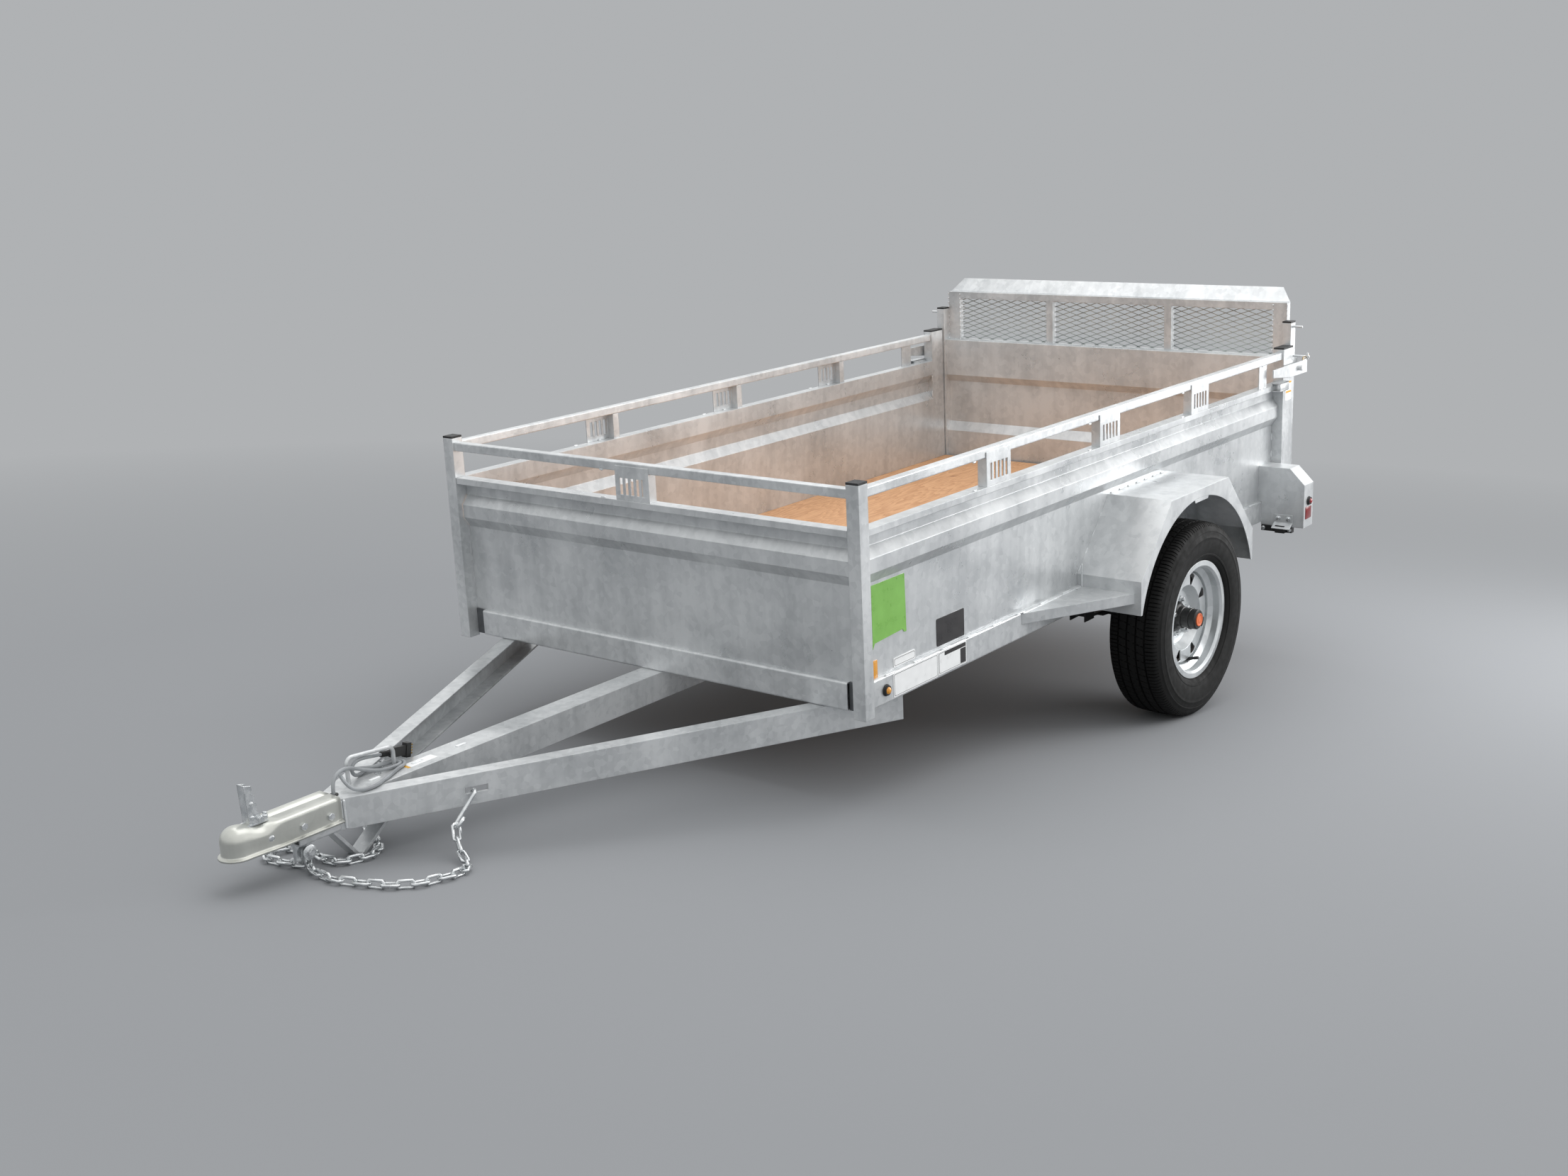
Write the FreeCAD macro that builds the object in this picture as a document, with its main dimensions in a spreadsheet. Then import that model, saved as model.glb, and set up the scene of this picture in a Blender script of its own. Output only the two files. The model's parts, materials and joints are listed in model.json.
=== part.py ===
# Single-axle utility trailer with a hinged rear gate, standing parked on the foot under its tongue.
# It is drawn level, in millimetres: X to the trailer's left, Y to the rear, Z up. Zero lies midway
# between the side walls, at the front face of the corner posts and at the posts' lower ends.
# Every piece then gets the same placement, which lowers the nose until foot and tyres touch one floor.
import FreeCAD, Part
import math
import os
import Sketcher

os.makedirs("parts", exist_ok=True)
doc = FreeCAD.newDocument("Trailer")
Vec = FreeCAD.Vector
Turn = FreeCAD.Rotation

# Driving dimensions, in millimetres and degrees.
SIZES = {
    # Load box
    "half_width": 750.0,
    "box_length": 2574.2,
    "post_side": 38.1,
    "rear_post_depth": 76.2,
    "front_post_top": 603.0,
    "rear_post_top": 601.0,
    "post_wall": 2.5,
    "cap_height": 6.0,
    "cap_depth": 20.0,
    "sheet": 2.0,
    "rim_top": 487.0,
    "rim_lip": 18.0,
    "rim_inset": 2.0,
    "swage_top": 432.0,
    "swage_outer_top": 404.0,
    "swage_outer_bottom": 366.0,
    "swage_bottom": 336.0,
    "swage_depth": 21.1,
    "floor_thickness": 12.0,
    "floor_gap": 1.0,
    # Top rails and their stanchions
    "rail_tube": 25.4,
    "rail_wall": 2.0,
    "rail_corner": 3.0,
    "top_rail_top": 591.0,
    "top_rail_inset": 6.35,
    "plate_width": 122.0,
    "plate_lap": 16.0,
    "plate_thick": 3.0,
    "plate_margin": 16.0,
    "plate_slot": 11.0,
    "stanchion_first": 583.0,
    "stanchion_second": 1202.0,
    "stanchion_third": 1797.0,
    "front_stanchion": -66.0,
    # Base frame
    "beam_width": 50.8,
    "beam_height": 76.2,
    "beam_bottom": 7.5,
    "beam_wall": 3.0,
    "beam_corner": 6.0,
    "beam_inset": 25.0,
    "front_beam_face": 25.4,
    "plug_head": 3.0,
    "plug_reach": 18.0,
    "plug_gap": 0.3,
    "cross_flange": 38.1,
    "cross_wall": 4.0,
    "cross_first": 620.0,
    "cross_second": 1120.0,
    "cross_third": 1870.0,
    # Tongue
    "tongue_height": 76.2,
    "apex_back": 193.0,
    "tongue_angle": 27.25,
    "tongue_end_back": 255.0,
    "nose_back": 140.0,
    "tongue_rear": 228.0,
    "channel_web": 5.0,
    "channel_flange": 45.0,
    "centre_width": 76.2,
    "centre_wall": 4.0,
    "slot_reach": 375.0,
    "slot_length": 50.0,
    "slot_height": 15.0,
    "slot_rise": 29.7,
    # Coupler
    "ball_forward": 1330.0,
    "ball_drop": 16.0,
    "ball_radius": 25.4,
    "ball_gap": 0.4,
    "dome_wall": 6.0,
    "socket_lip_drop": 34.0,
    "coupler_wall": 4.0,
    "coupler_gap": 0.5,
    "coupler_length": 257.0,
    "coupler_skirt": 52.0,
    "coupler_brim": 8.0,
    "lever_width": 26.0,
    "lever_height": 100.0,
    "lever_thick": 5.0,
    "lever_shoulder": 35.0,
    "lever_waist": 50.0,
    # Foot under the tongue
    "foot_width": 45.0,
    "foot_thick": 8.0,
    "foot_back": 312.0,
    "foot_depth": 83.0,
    "foot_bend": 14.0,
    "foot_front_reach": 65.0,
    "foot_rear_reach": 112.0,
    "foot_overrun": 1.3,
    # Chain bolt, cable guide loop, wiring and its plug
    "chain_tab_front": 145.0,
    "chain_tab_rear": 190.0,
    "chain_tab_thick": 10.0,
    "chain_tab_drop": 46.3,
    "chain_bolt_back": 175.0,
    "chain_bolt_drop": 27.9,
    "chain_bolt_radius": 4.6,
    "chain_bolt_gap": 0.3,
    "chain_washer_radius": 18.0,
    "chain_washer_place": 15.0,
    "chain_washer_thick": 3.0,
    "chain_head_radius": 8.5,
    "chain_head_thick": 8.0,
    "link_pitch": 33.4,
    "link_half_length": 19.7,
    "link_half_width": 8.6,
    "link_wire": 5.0,
    "link_corner": 4.6,
    "hook_wire": 4.0,
    "hook_bend": 11.8,
    "hook_reach": 12.0,
    "hook_length": 98.8,
    "hook_tip": 28.0,
    "loop_side": -30.0,
    "loop_wire": 5.15,
    "loop_bend": 16.0,
    "loop_front": 994.0,
    "loop_rear": 857.0,
    "loop_front_top": 70.0,
    "loop_rear_top": 57.0,
    "grommet_radius": 11.3,
    "grommet_thick": 2.0,
    "cord_radius": 4.5,
    "plug_relief_radius": 7.0,
    "plug_relief_length": 36.0,
    "plug_body_height": 24.0,
    "plug_body_thick": 12.0,
    "plug_body_length": 50.0,
    "plug_flange_height": 36.0,
    "plug_flange_thick": 16.0,
    "plug_flange_length": 16.0,
    "plug_pin_radius": 1.75,
    "plug_pin_pitch": 7.0,
    "plug_pin_length": 13.0,
    # Running gear
    "axle_back": 1507.0,
    "axle_drop": 92.0,
    "axle_side": 40.0,
    "tyre_radius": 305.0,
    "tyre_width": 177.0,
    "tyre_shoulder": 77.0,
    "tread_half": 65.5,
    "tread_drop": 3.0,
    "shoulder_round": 14.0,
    "side_curve_low": 70.8,
    "side_curve_high": 106.2,
    "wheel_offset": 99.5,
    "bead_radius": 166.0,
    "rim_radius": 184.0,
    "rim_width": 142.0,
    "rim_steel": 3.5,
    "rim_flange_curve": 4.0,
    "rim_hump": 9.0,
    "rim_seat": 30.0,
    "rim_well_side": 41.0,
    "rim_well": 16.0,
    "bead_gap": 0.3,
    "disc_face": 2.0,
    "disc_crest": 27.0,
    "disc_crest_inner": 102.0,
    "disc_crest_outer": 140.0,
    "disc_seat_radius": 84.0,
    "disc_bore": 33.0,
    "disc_shoulder": 12.0,
    "window_inner": 106.0,
    "window_outer": 138.0,
    "window_half_width": 17.0,
    "window_tip": 6.0,
    "window_crown": 23.8,
    "window_foot": 6.6,
    "window_turn": -65.0,
    "window_count": 8.0,
    "hub_radius": 70.0,
    "hub_inboard": 60.0,
    "hub_clearance": 5.0,
    "hub_cap_radius": 31.0,
    "hub_cap_end": 73.0,
    "hub_cap_corner": 3.7,
    "spindle_radius": 16.0,
    "spindle_gap": 0.3,
    "spindle_reach": 40.0,
    "spring_half_length": 330.0,
    "spring_rise": 20.0,
    "leaf_thick": 8.0,
    "leaf_width": 44.0,
    "leaf_step": 90.0,
    "spring_seat": 6.0,
    "eye_radius": 14.0,
    "spring_pin_radius": 7.0,
    "hanger_plate": 3.0,
    "hanger_width": 56.0,
    "hanger_gap": 1.0,
    "hanger_drop": 22.0,
    "clamp_plate": 6.0,
    "clamp_rod": 5.0,
    "clamp_gap": 0.3,
    "clamp_margin": 1.0,
    "clamp_edge": 3.0,
    # Fenders
    "fender_reach": 172.5,
    "fender_sheet": 2.5,
    "fender_top": 321.0,
    "fender_flat": 380.0,
    "fender_length": 759.0,
    "fender_shoulder": 117.0,
    "fender_bottom": 15.0,
    "arch_radius": 386.0,
    "gusset_length": 341.0,
    "gusset_reach": 175.0,
    "gusset_top": 80.0,
    "gusset_lip": 31.0,
    # Lamp boxes and lamps
    "lamp_box_back": 176.2,
    "lamp_box_depth": 76.0,
    "lamp_box_reach": 130.0,
    "lamp_box_bottom": 2.0,
    "lamp_box_top": 208.0,
    "lamp_box_chamfer": 54.0,
    "lamp_width": 120.0,
    "lamp_height": 96.0,
    "lamp_depth": 22.0,
    "marker_radius": 13.0,
    "marker_depth": 8.0,
    "marker_back": 124.0,
    "marker_height": 45.0,
    "side_marker_height": 94.0,
    "plate_bar": 74.0,
    "plate_bar_height": 20.0,
    "plate_bar_depth": 5.0,
    "plate_hood": 34.0,
    "plate_hood_depth": 16.0,
    "plate_hood_drop": 26.0,
    # Gate
    "gate_gap": 5.0,
    "stile_width": 32.0,
    "stile_depth": 38.0,
    "stile_inset": 12.0,
    "stile_top": 682.0,
    "latch_side": 757.0,
    "latch_thick": 5.0,
    "latch_front": 2389.0,
    "latch_rear": 2672.0,
    "latch_low": 501.0,
    "latch_nose": 519.0,
    "latch_top": 546.0,
    "latch_step": 2540.0,
    "prong_front": 2634.0,
    "prong_top": 560.0,
    "latch_bolt_height": 526.0,
    "latch_bolt_radius": 9.0,
    "latch_bolt_head": 6.0,
    "latch_pin_radius": 4.0,
    "latch_pin_height": 567.0,
    "latch_pin_length": 62.0,
    "stop_pin_height": 669.0,
    "stop_pin_length": 34.0,
    "stile_wall": 2.5,
    "hinge_height": 58.0,
    "hinge_back": 24.0,
    "pin_radius": 8.0,
    "pin_gap": 0.06,
    "knuckle_radius": 14.0,
    "lug_plate": 8.0,
    "lug_gap": 3.0,
    "pin_end": 8.0,
    "gate_panel_back": 11.0,
    "gate_panel_top": 560.0,
    "gate_press_top": 421.0,
    "gate_press_upper": 394.0,
    "gate_press_lower": 231.0,
    "gate_press_bottom": 196.0,
    "gate_press_depth": 21.0,
    "mesh_bar": 25.4,
    "mesh_top": 748.0,
    "mesh_bottom": 537.0,
    "mesh_strand": 3.0,
    "mesh_web": 1.65,
    "mesh_pitch_across": 86.0,
    "mesh_pitch_up": 40.0,
    "upright_place": 248.0,
    "upright_width": 28.0,
    "mesh_sheet": 3.0,
    "mesh_lap": 8.0,
    "lip_rise": 48.0,
    "lip_lean": 32.0,
    "lip_sheet": 4.0,
    "lip_cut": 40.0,
}

sheet = doc.addObject("Spreadsheet::Sheet", "Sizes")
for row, (name, number) in enumerate(SIZES.items(), start=1):
    sheet.set(f"A{row}", str(number))
    sheet.setAlias(f"A{row}", name)
doc.recompute()


class Length:
    """A number together with the formula that gives it from the sheet."""

    def __init__(self, number, text):
        self.number = number
        self.text = text

    def joined(self, sign, other, number):
        return Length(number, f"({self.text} {sign} {other.text})")

    def __add__(self, other):
        other = length(other)
        return self.joined("+", other, self.number + other.number)

    def __sub__(self, other):
        other = length(other)
        return self.joined("-", other, self.number - other.number)

    def __mul__(self, other):
        other = length(other)
        return self.joined("*", other, self.number * other.number)

    def __truediv__(self, other):
        other = length(other)
        return self.joined("/", other, self.number / other.number)

    def __neg__(self):
        return self * -1

    def __radd__(self, other):
        return length(other) + self

    def __rsub__(self, other):
        return length(other) - self

    def __rmul__(self, other):
        return length(other) * self


def length(thing):
    """A Length as it is, or a plain number made into one."""
    return thing if isinstance(thing, Length) else Length(float(thing), repr(float(thing)))


class Sizes:
    """The sheet's values by name."""

    def __getattr__(self, name):
        return Length(SIZES[name], f"Sizes.{name}")


size = Sizes()


def tan_of(angle):
    return Length(math.tan(math.radians(angle.number)), f"tan({angle.text} * 1deg)")


def root_of(square):
    return Length(math.sqrt(square.number), f"sqrt({square.text})")


def half_tan(run, rise):
    """Tangent of half the angle whose own tangent is run over rise."""
    angle = math.atan2(run.number, rise.number)
    return Length(math.tan(angle / 2), f"tan(atan({run.text} / {rise.text}) / 2)")


def cos_of(angle):
    return Length(math.cos(math.radians(angle.number)), f"cos({angle.text} * 1deg)")


class Bend:
    """A round stretch between two corners of an outline: radius above 0 turns left."""

    def __init__(self, radius):
        self.radius = length(radius)


def mirrored(pair, side):
    """A low and high X on the left, or the same on the right side of the trailer."""
    low, high = pair
    return (length(low), length(high)) if side > 0 else (-length(high), -length(low))


def arc_between(start, end, radius):
    """The short arc from start to end, turning left for a radius above 0."""
    chord = end - start
    middle = (start + end) * 0.5
    across = Vec(-chord.y, chord.x, 0).normalize()
    rise = math.sqrt(max(radius * radius - chord.Length ** 2 / 4, 0))
    centre = middle + across * math.copysign(rise, radius)
    outward = (middle - centre) if rise > 0 else across * -math.copysign(1, radius)
    crown = centre + outward.normalize() * abs(radius)
    return Part.Arc(start, crown, end)


def trace(sketch, path):
    """Draw a closed outline: corners joined by lines, or by an arc where a Bend stands between them."""
    corners = [(length(p[0]), length(p[1])) for p in path if not isinstance(p, Bend)]
    bends = {}
    for place, item in enumerate(path):
        if isinstance(item, Bend):
            bends[place - 1 - len(bends)] = item.radius
    count = len(corners)
    points = [Vec(across.number, up.number, 0) for across, up in corners]
    pieces = []
    for k in range(count):
        start, end = points[k], points[(k + 1) % count]
        if k in bends:
            pieces.append((arc_between(start, end, bends[k].number), bends[k].number > 0))
        else:
            pieces.append((Part.LineSegment(start, end), True))
    for curve, _ in pieces:
        sketch.addGeometry(curve, False)

    def ends(k):
        straight = isinstance(pieces[k][0], Part.LineSegment)
        return (1, 2) if straight or pieces[k][1] else (2, 1)

    for k in range(count):
        following = (k + 1) % count
        sketch.addConstraint(Sketcher.Constraint(
            "Coincident", k, ends(k)[1], following, ends(following)[0]))
    for k, (across, up) in enumerate(corners):
        for kind, place in (("DistanceX", across), ("DistanceY", up)):
            row = sketch.addConstraint(Sketcher.Constraint(kind, -1, 1, k, ends(k)[0], place.number))
            sketch.setExpression(f"Constraints[{row}]", place.text)
    for k, radius in bends.items():
        row = sketch.addConstraint(Sketcher.Constraint("Radius", k, abs(radius.number)))
        sketch.setExpression(f"Constraints[{row}]", radius.text if radius.number > 0 else (-radius).text)


def box(name, x, y, z):
    """A block between two values along each axis."""
    block = doc.addObject("Part::Box", name)
    for edge, axis, (low, high) in (("Length", "x", x), ("Width", "y", y), ("Height", "z", z)):
        block.setExpression(edge, (length(high) - low).text)
        block.setExpression(f"Placement.Base.{axis}", length(low).text)
    return block


PLANES = {
    "xy": (Turn(), "z", Vec(0, 0, 1)),
    "xz": (Turn(Vec(1, 0, 0), 90), "y", Vec(0, 1, 0)),
    "yz": (Turn(Vec(1, 1, 1), 120), "x", Vec(1, 0, 0)),
}


def prism(name, plane, path, low, high):
    """An outline in a plane of the trailer, made solid from low to high across that plane."""
    turn, axis, direction = PLANES[plane]
    sketch = doc.addObject("Sketcher::SketchObject", f"{name}_outline")
    sketch.Placement = FreeCAD.Placement(Vec(), turn)
    sketch.setExpression(f"Placement.Base.{axis}", length(low).text)
    trace(sketch, path)
    solid = doc.addObject("Part::Extrusion", name)
    solid.Base = sketch
    solid.DirMode = "Custom"
    solid.Dir = direction
    solid.Solid = True
    solid.setExpression("LengthFwd", (length(high) - low).text)
    return solid


def rounded(across, up, corner):
    """The outline of a rectangle with round corners."""
    (left, right), (bottom, top) = [(length(a), length(b)) for a, b in (across, up)]
    return [(left + corner, bottom), (right - corner, bottom), Bend(corner),
            (right, bottom + corner), (right, top - corner), Bend(corner),
            (right - corner, top), (left + corner, top), Bend(corner),
            (left, top - corner), (left, bottom + corner), Bend(corner)]


def tube(name, plane, across, up, low, high, wall, corner):
    """A rectangular hollow section with rolled corners, open at both ends."""
    outside = prism(f"{name}_outside", plane, rounded(across, up, corner), low, high)
    (left, right), (bottom, top) = across, up
    inner = ((length(left) + wall, length(right) - wall), (length(bottom) + wall, length(top) - wall))
    inside = prism(f"{name}_inside", plane, rounded(*inner, corner - wall), length(low) - 1, length(high) + 1)
    return cut(name, outside, inside)


def cylinder(name, axis, centre, radius, low, high):
    """A round bar along X, Y or Z. The centre is given along the other two axes, in that order."""
    rod = doc.addObject("Part::Cylinder", name)
    turns = {"x": Turn(Vec(0, 1, 0), 90), "y": Turn(Vec(1, 0, 0), -90), "z": Turn()}
    rod.Placement = FreeCAD.Placement(Vec(), turns[axis])
    rod.setExpression("Radius", length(radius).text)
    rod.setExpression("Height", (length(high) - low).text)
    others = [letter for letter in "xyz" if letter != axis]
    for letter, place in zip([axis] + others, [low] + list(centre)):
        rod.setExpression(f"Placement.Base.{letter}", length(place).text)
    return rod


def cut(name, base, *tools):
    """The base without what the tools cover."""
    for place, tool in enumerate(tools):
        result = doc.addObject("Part::Cut", name if place == len(tools) - 1 else f"{name}_step{place}")
        result.Base = base
        result.Tool = tool
        base = result
    return base


def fuse(name, *things):
    """Pieces welded into one."""
    result = doc.addObject("Part::MultiFuse", name)
    result.Shapes = list(things)
    result.Refine = True
    return result


def common(name, first, second):
    """What two pieces share."""
    result = doc.addObject("Part::Common", name)
    result.Base = first
    result.Tool = second
    return result


def moved(name, thing, placement):
    """A piece set down in another place."""
    result = doc.addObject("Part::Compound", name)
    result.Links = [thing]
    result.Placement = placement
    return result


def attached_sketch(body, role, name):
    """A sketch on one of the body's own origin planes."""
    plane = [item for item in body.Origin.OriginFeatures if item.Role == role][0]
    sketch = body.newObject("Sketcher::SketchObject", name)
    sketch.AttachmentSupport = [(plane, "")]
    sketch.MapMode = "FlatFace"
    return sketch


nodes = {}


def node(name, *things):
    """Name a finished sub-part. Several pieces that don't touch share one node."""
    single = len(things) == 1 and things[0].TypeId in ("PartDesign::Body", "Part::Feature")
    part = things[0] if single else doc.addObject("Part::Compound", f"{name}_part")
    if not single:
        part.Links = list(things)
    part.Label = name
    nodes[name] = part
    return part


SIDES = (("left", 1), ("right", -1))

# Places that several pieces share
post_inner = size.half_width - size.post_side
panel_inner = post_inner - size.sheet
beam_outer = size.half_width - size.beam_inset
beam_inner = beam_outer - size.beam_width
beam_top = size.beam_bottom + size.beam_height
front_post_rear = size.post_side
rear_post_front = size.box_length - size.rear_post_depth
front_beam_rear = size.front_beam_face + size.beam_width
rear_beam_rear = rear_post_front + size.beam_width
rail_outer = size.half_width - size.top_rail_inset
rail_bottom = size.top_rail_top - size.rail_tube
floor_top = beam_top + size.floor_thickness
tongue_top = size.beam_bottom
ball_y = -size.ball_forward
tongue_apex = size.ball_forward - size.apex_back
tongue_bottom = tongue_top - size.tongue_height


def post(name, x, y, top):
    """A corner post: square tube with an open lower end."""
    outside = box(f"{name}_outside", x, y, (0, top))
    inner_x = (x[0] + size.post_wall, x[1] - size.post_wall)
    inner_y = (length(y[0]) + size.post_wall, y[1] - size.post_wall)
    inside = box(f"{name}_inside", inner_x, inner_y, (-1, top + 1))
    return cut(name, outside, inside)


def cap(name, x, y, top, wall):
    """A black push-in cap: a flat head over the tube with a shorter plug inside it."""
    head = box(f"{name}_head", x, y, (top, top + size.cap_height))
    gap = wall + size.plug_gap
    plug = box(f"{name}_plug", (x[0] + gap, x[1] - gap), (length(y[0]) + gap, y[1] - gap),
               (top - size.cap_depth, top))
    return fuse(name, head, plug)


# Corner posts and their caps
front_posts, rear_posts, caps = [], [], []
for side_name, side in SIDES:
    x = mirrored((post_inner, size.half_width), side)
    front_y = (length(0), size.post_side)
    rear_y = (rear_post_front, size.box_length)
    front_posts.append(post(f"front_post_{side_name}", x, front_y, size.front_post_top))
    rear_posts.append(post(f"rear_post_{side_name}", x, rear_y, size.rear_post_top))
    caps.append(cap(f"front_cap_{side_name}", x, front_y, size.front_post_top, size.post_wall))
    caps.append(cap(f"rear_cap_{side_name}", x, rear_y, size.rear_post_top, size.post_wall))
node("front_posts", *front_posts)
node("rear_posts", *rear_posts)
node("post_caps", *caps)


def wall_profile(outer, inward):
    """Section of a pressed wall. outer is the posts' outer face, inward is +1 or -1 towards the load."""
    def at(inset):
        return outer + length(inset) * inward

    face = size.post_side
    back = size.post_side + size.sheet
    swage = size.post_side - size.swage_depth
    lip = size.rim_inset
    under = size.rim_top - size.sheet
    return [
        (at(lip), size.rim_top - size.rim_lip), (at(lip), size.rim_top), (at(back), size.rim_top),
        (at(back), size.swage_top), (at(swage + size.sheet), size.swage_outer_top),
        (at(swage + size.sheet), size.swage_outer_bottom), (at(back), size.swage_bottom),
        (at(back), beam_top), (at(face), beam_top), (at(face), size.swage_bottom),
        (at(swage), size.swage_outer_bottom), (at(swage), size.swage_outer_top),
        (at(face), size.swage_top), (at(face), under),
        (at(lip + size.sheet), under), (at(lip + size.sheet), size.rim_top - size.rim_lip),
    ]


# Pressed walls
for side_name, side in SIDES:
    profile = wall_profile(size.half_width * side, -side)
    node(f"side_panel_{side_name}",
         prism(f"side_wall_{side_name}", "xz", profile, front_post_rear, rear_post_front))
node("front_panel", prism("front_wall", "yz", wall_profile(length(0), 1), -panel_inner, panel_inner))

# Plywood floor, between the walls
floor_edge = panel_inner - size.floor_gap
node("floor", box("plywood", (-floor_edge, floor_edge),
                  (size.post_side + size.sheet + size.floor_gap, size.box_length), (beam_top, floor_top)))

# Base frame: side beams, front and rear beams, crossmembers, and the plugs in the side beams' ends
for side_name, side in SIDES:
    node(f"side_beam_{side_name}",
         tube(f"side_tube_{side_name}", "xz", mirrored((beam_inner, beam_outer), side),
              (size.beam_bottom, beam_top), front_post_rear, rear_post_front,
              size.beam_wall, size.beam_corner))
node("front_beam", tube("front_tube", "yz", (size.front_beam_face, front_beam_rear),
                        (size.beam_bottom, beam_top), -beam_inner, beam_inner,
                        size.beam_wall, size.beam_corner))
node("rear_beam", tube("rear_tube", "yz", (rear_post_front, rear_beam_rear),
                       (size.beam_bottom, beam_top), -post_inner, post_inner,
                       size.beam_wall, size.beam_corner))


def crossmember(name, front):
    """A pressed channel across the frame, open to the rear."""
    rear = front + size.cross_flange
    web = front + size.cross_wall
    low, high = size.beam_bottom, beam_top
    inner_low, inner_high = low + size.cross_wall, high - size.cross_wall
    path = [(front, low), (rear, low), (rear, inner_low), (web, inner_low),
            (web, inner_high), (rear, inner_high), (rear, high), (front, high)]
    return prism(name, "yz", path, -beam_inner, beam_inner)


node("crossmembers", crossmember("cross_front", size.cross_first),
     crossmember("cross_middle", size.cross_second), crossmember("cross_rear", size.cross_third))

plugs = []
for side_name, side in SIDES:
    shown = mirrored((beam_inner + size.plug_gap, post_inner - size.plug_gap), side)
    inner = size.beam_wall + size.plug_gap
    head = box(f"plug_head_{side_name}", shown, (front_post_rear - size.plug_head, front_post_rear),
               (size.beam_bottom + size.plug_gap, beam_top - size.plug_gap))
    stem = prism(f"plug_stem_{side_name}", "xz", rounded(
        mirrored((beam_inner + inner, post_inner), side), (size.beam_bottom + inner, beam_top - inner),
        size.beam_corner - size.beam_wall), front_post_rear, front_post_rear + size.plug_reach)
    plugs.append(fuse(f"plug_{side_name}", head, stem))
node("beam_plugs", *plugs)

# Top rails
rail_z = (rail_bottom, size.top_rail_top)
rail_x = (rail_outer - size.rail_tube, rail_outer)
for side_name, side in SIDES:
    node(f"top_rail_{side_name}",
         tube(f"top_tube_{side_name}", "xz", mirrored(rail_x, side), rail_z,
              front_post_rear, rear_post_front, size.rail_wall, size.rail_corner))
front_rail_y = (size.top_rail_inset, size.top_rail_inset + size.rail_tube)
node("top_rail_front", tube("top_tube_front", "yz", front_rail_y, rail_z, -post_inner, post_inner,
                            size.rail_wall, size.rail_corner))


def side_stanchion(name, front, side):
    """A short tube under the top rail, with a slotted plate over it on the outside."""
    rear = front + size.plate_width
    plate_x = mirrored((rail_outer, rail_outer + size.plate_thick), side)
    tube_y = (front, front + size.rail_tube) if side > 0 else (rear - size.rail_tube, rear)
    stub = box(f"{name}_stub", mirrored(rail_x, side), tube_y, (size.rim_top, rail_bottom))
    plate = box(f"{name}_plate", plate_x, (front, rear), (size.rim_top, rail_bottom + size.plate_lap))
    return fuse(name, stub, cut(f"{name}_slotted", plate, *plate_slots(name, "x", front, plate_x)))


SLOT_COUNT = 5


def plate_slots(name, normal, start, through):
    """Five upright slots that lighten a stanchion plate."""
    pitch = (size.plate_width - size.plate_margin * 2 - size.plate_slot) / (SLOT_COUNT - 1)
    low = size.rim_top + size.plate_margin
    high = rail_bottom - size.plate_margin
    wide = (through[0] - 1, through[1] + 1)
    slots = []
    for k in range(SLOT_COUNT):
        along = start + size.plate_margin + pitch * k
        span = (along, along + size.plate_slot)
        x, y = (wide, span) if normal == "x" else (span, wide)
        slots.append(box(f"{name}_slot{k}", x, y, (low, high)))
    return slots


stanchions = []
for side_name, side in SIDES:
    for place, front in enumerate((size.stanchion_first, size.stanchion_second, size.stanchion_third)):
        stanchions.append(side_stanchion(f"stanchion_{side_name}{place}", front, side))
front_plate_y = (size.top_rail_inset - size.plate_thick, size.top_rail_inset)
front_end = size.front_stanchion + size.plate_width
front_stub = box("front_stanchion_stub", (front_end - size.rail_tube, front_end), front_rail_y,
                 (size.rim_top, rail_bottom))
front_plate = box("front_stanchion_plate", (size.front_stanchion, front_end), front_plate_y,
                  (size.rim_top, rail_bottom + size.plate_lap))
stanchions.append(fuse("stanchion_front", front_stub, cut(
    "front_stanchion_slotted", front_plate,
    *plate_slots("front_stanchion", "y", size.front_stanchion, front_plate_y))))
node("stanchions", *stanchions)

# Tongue: two channels that meet at the coupler, and a square tube between them
tongue_slope = tan_of(size.tongue_angle)
channel_span = (size.tongue_rear + tongue_apex) / cos_of(size.tongue_angle)


def tongue_channel(side_name, side):
    """A channel with its web outside, cut square to the trailer at both ends."""
    web = mirrored((-size.channel_web, 0), side)
    low, high = tongue_bottom, tongue_top
    inner_low, inner_high = low + size.channel_web, high - size.channel_web
    reach = -size.channel_flange * side
    wall = -size.channel_web * side
    path = [(0, low), (0, high), (reach, high), (reach, inner_high),
            (wall, inner_high), (wall, inner_low), (reach, inner_low), (reach, low)]
    bar = prism(f"channel_{side_name}_bar", "xz", path, 0, channel_span + size.channel_flange)
    turned = moved(f"channel_{side_name}_turned", bar, FreeCAD.Placement(
        Vec(0, -tongue_apex.number, 0), Turn(Vec(0, 0, 1), -size.tongue_angle.number * side)))
    keep = box(f"channel_{side_name}_keep", mirrored((0, size.half_width), side),
               (ball_y + size.tongue_end_back, size.tongue_rear), (low - 1, high + 1))
    trimmed = common(f"channel_{side_name}_trimmed", turned, keep)
    slot_y = -tongue_apex + size.slot_reach
    slot_low = low + size.slot_rise
    slot_x = mirrored((size.slot_reach * tongue_slope - size.channel_flange,
                       size.slot_reach * tongue_slope + size.channel_flange), side)
    slot = box(f"channel_{side_name}_slot", slot_x, (slot_y - size.slot_length, slot_y),
               (slot_low, slot_low + size.slot_height))
    return cut(f"channel_{side_name}", trimmed, slot)


for side_name, side in SIDES:
    node(f"tongue_channel_{side_name}", tongue_channel(side_name, side))

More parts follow.
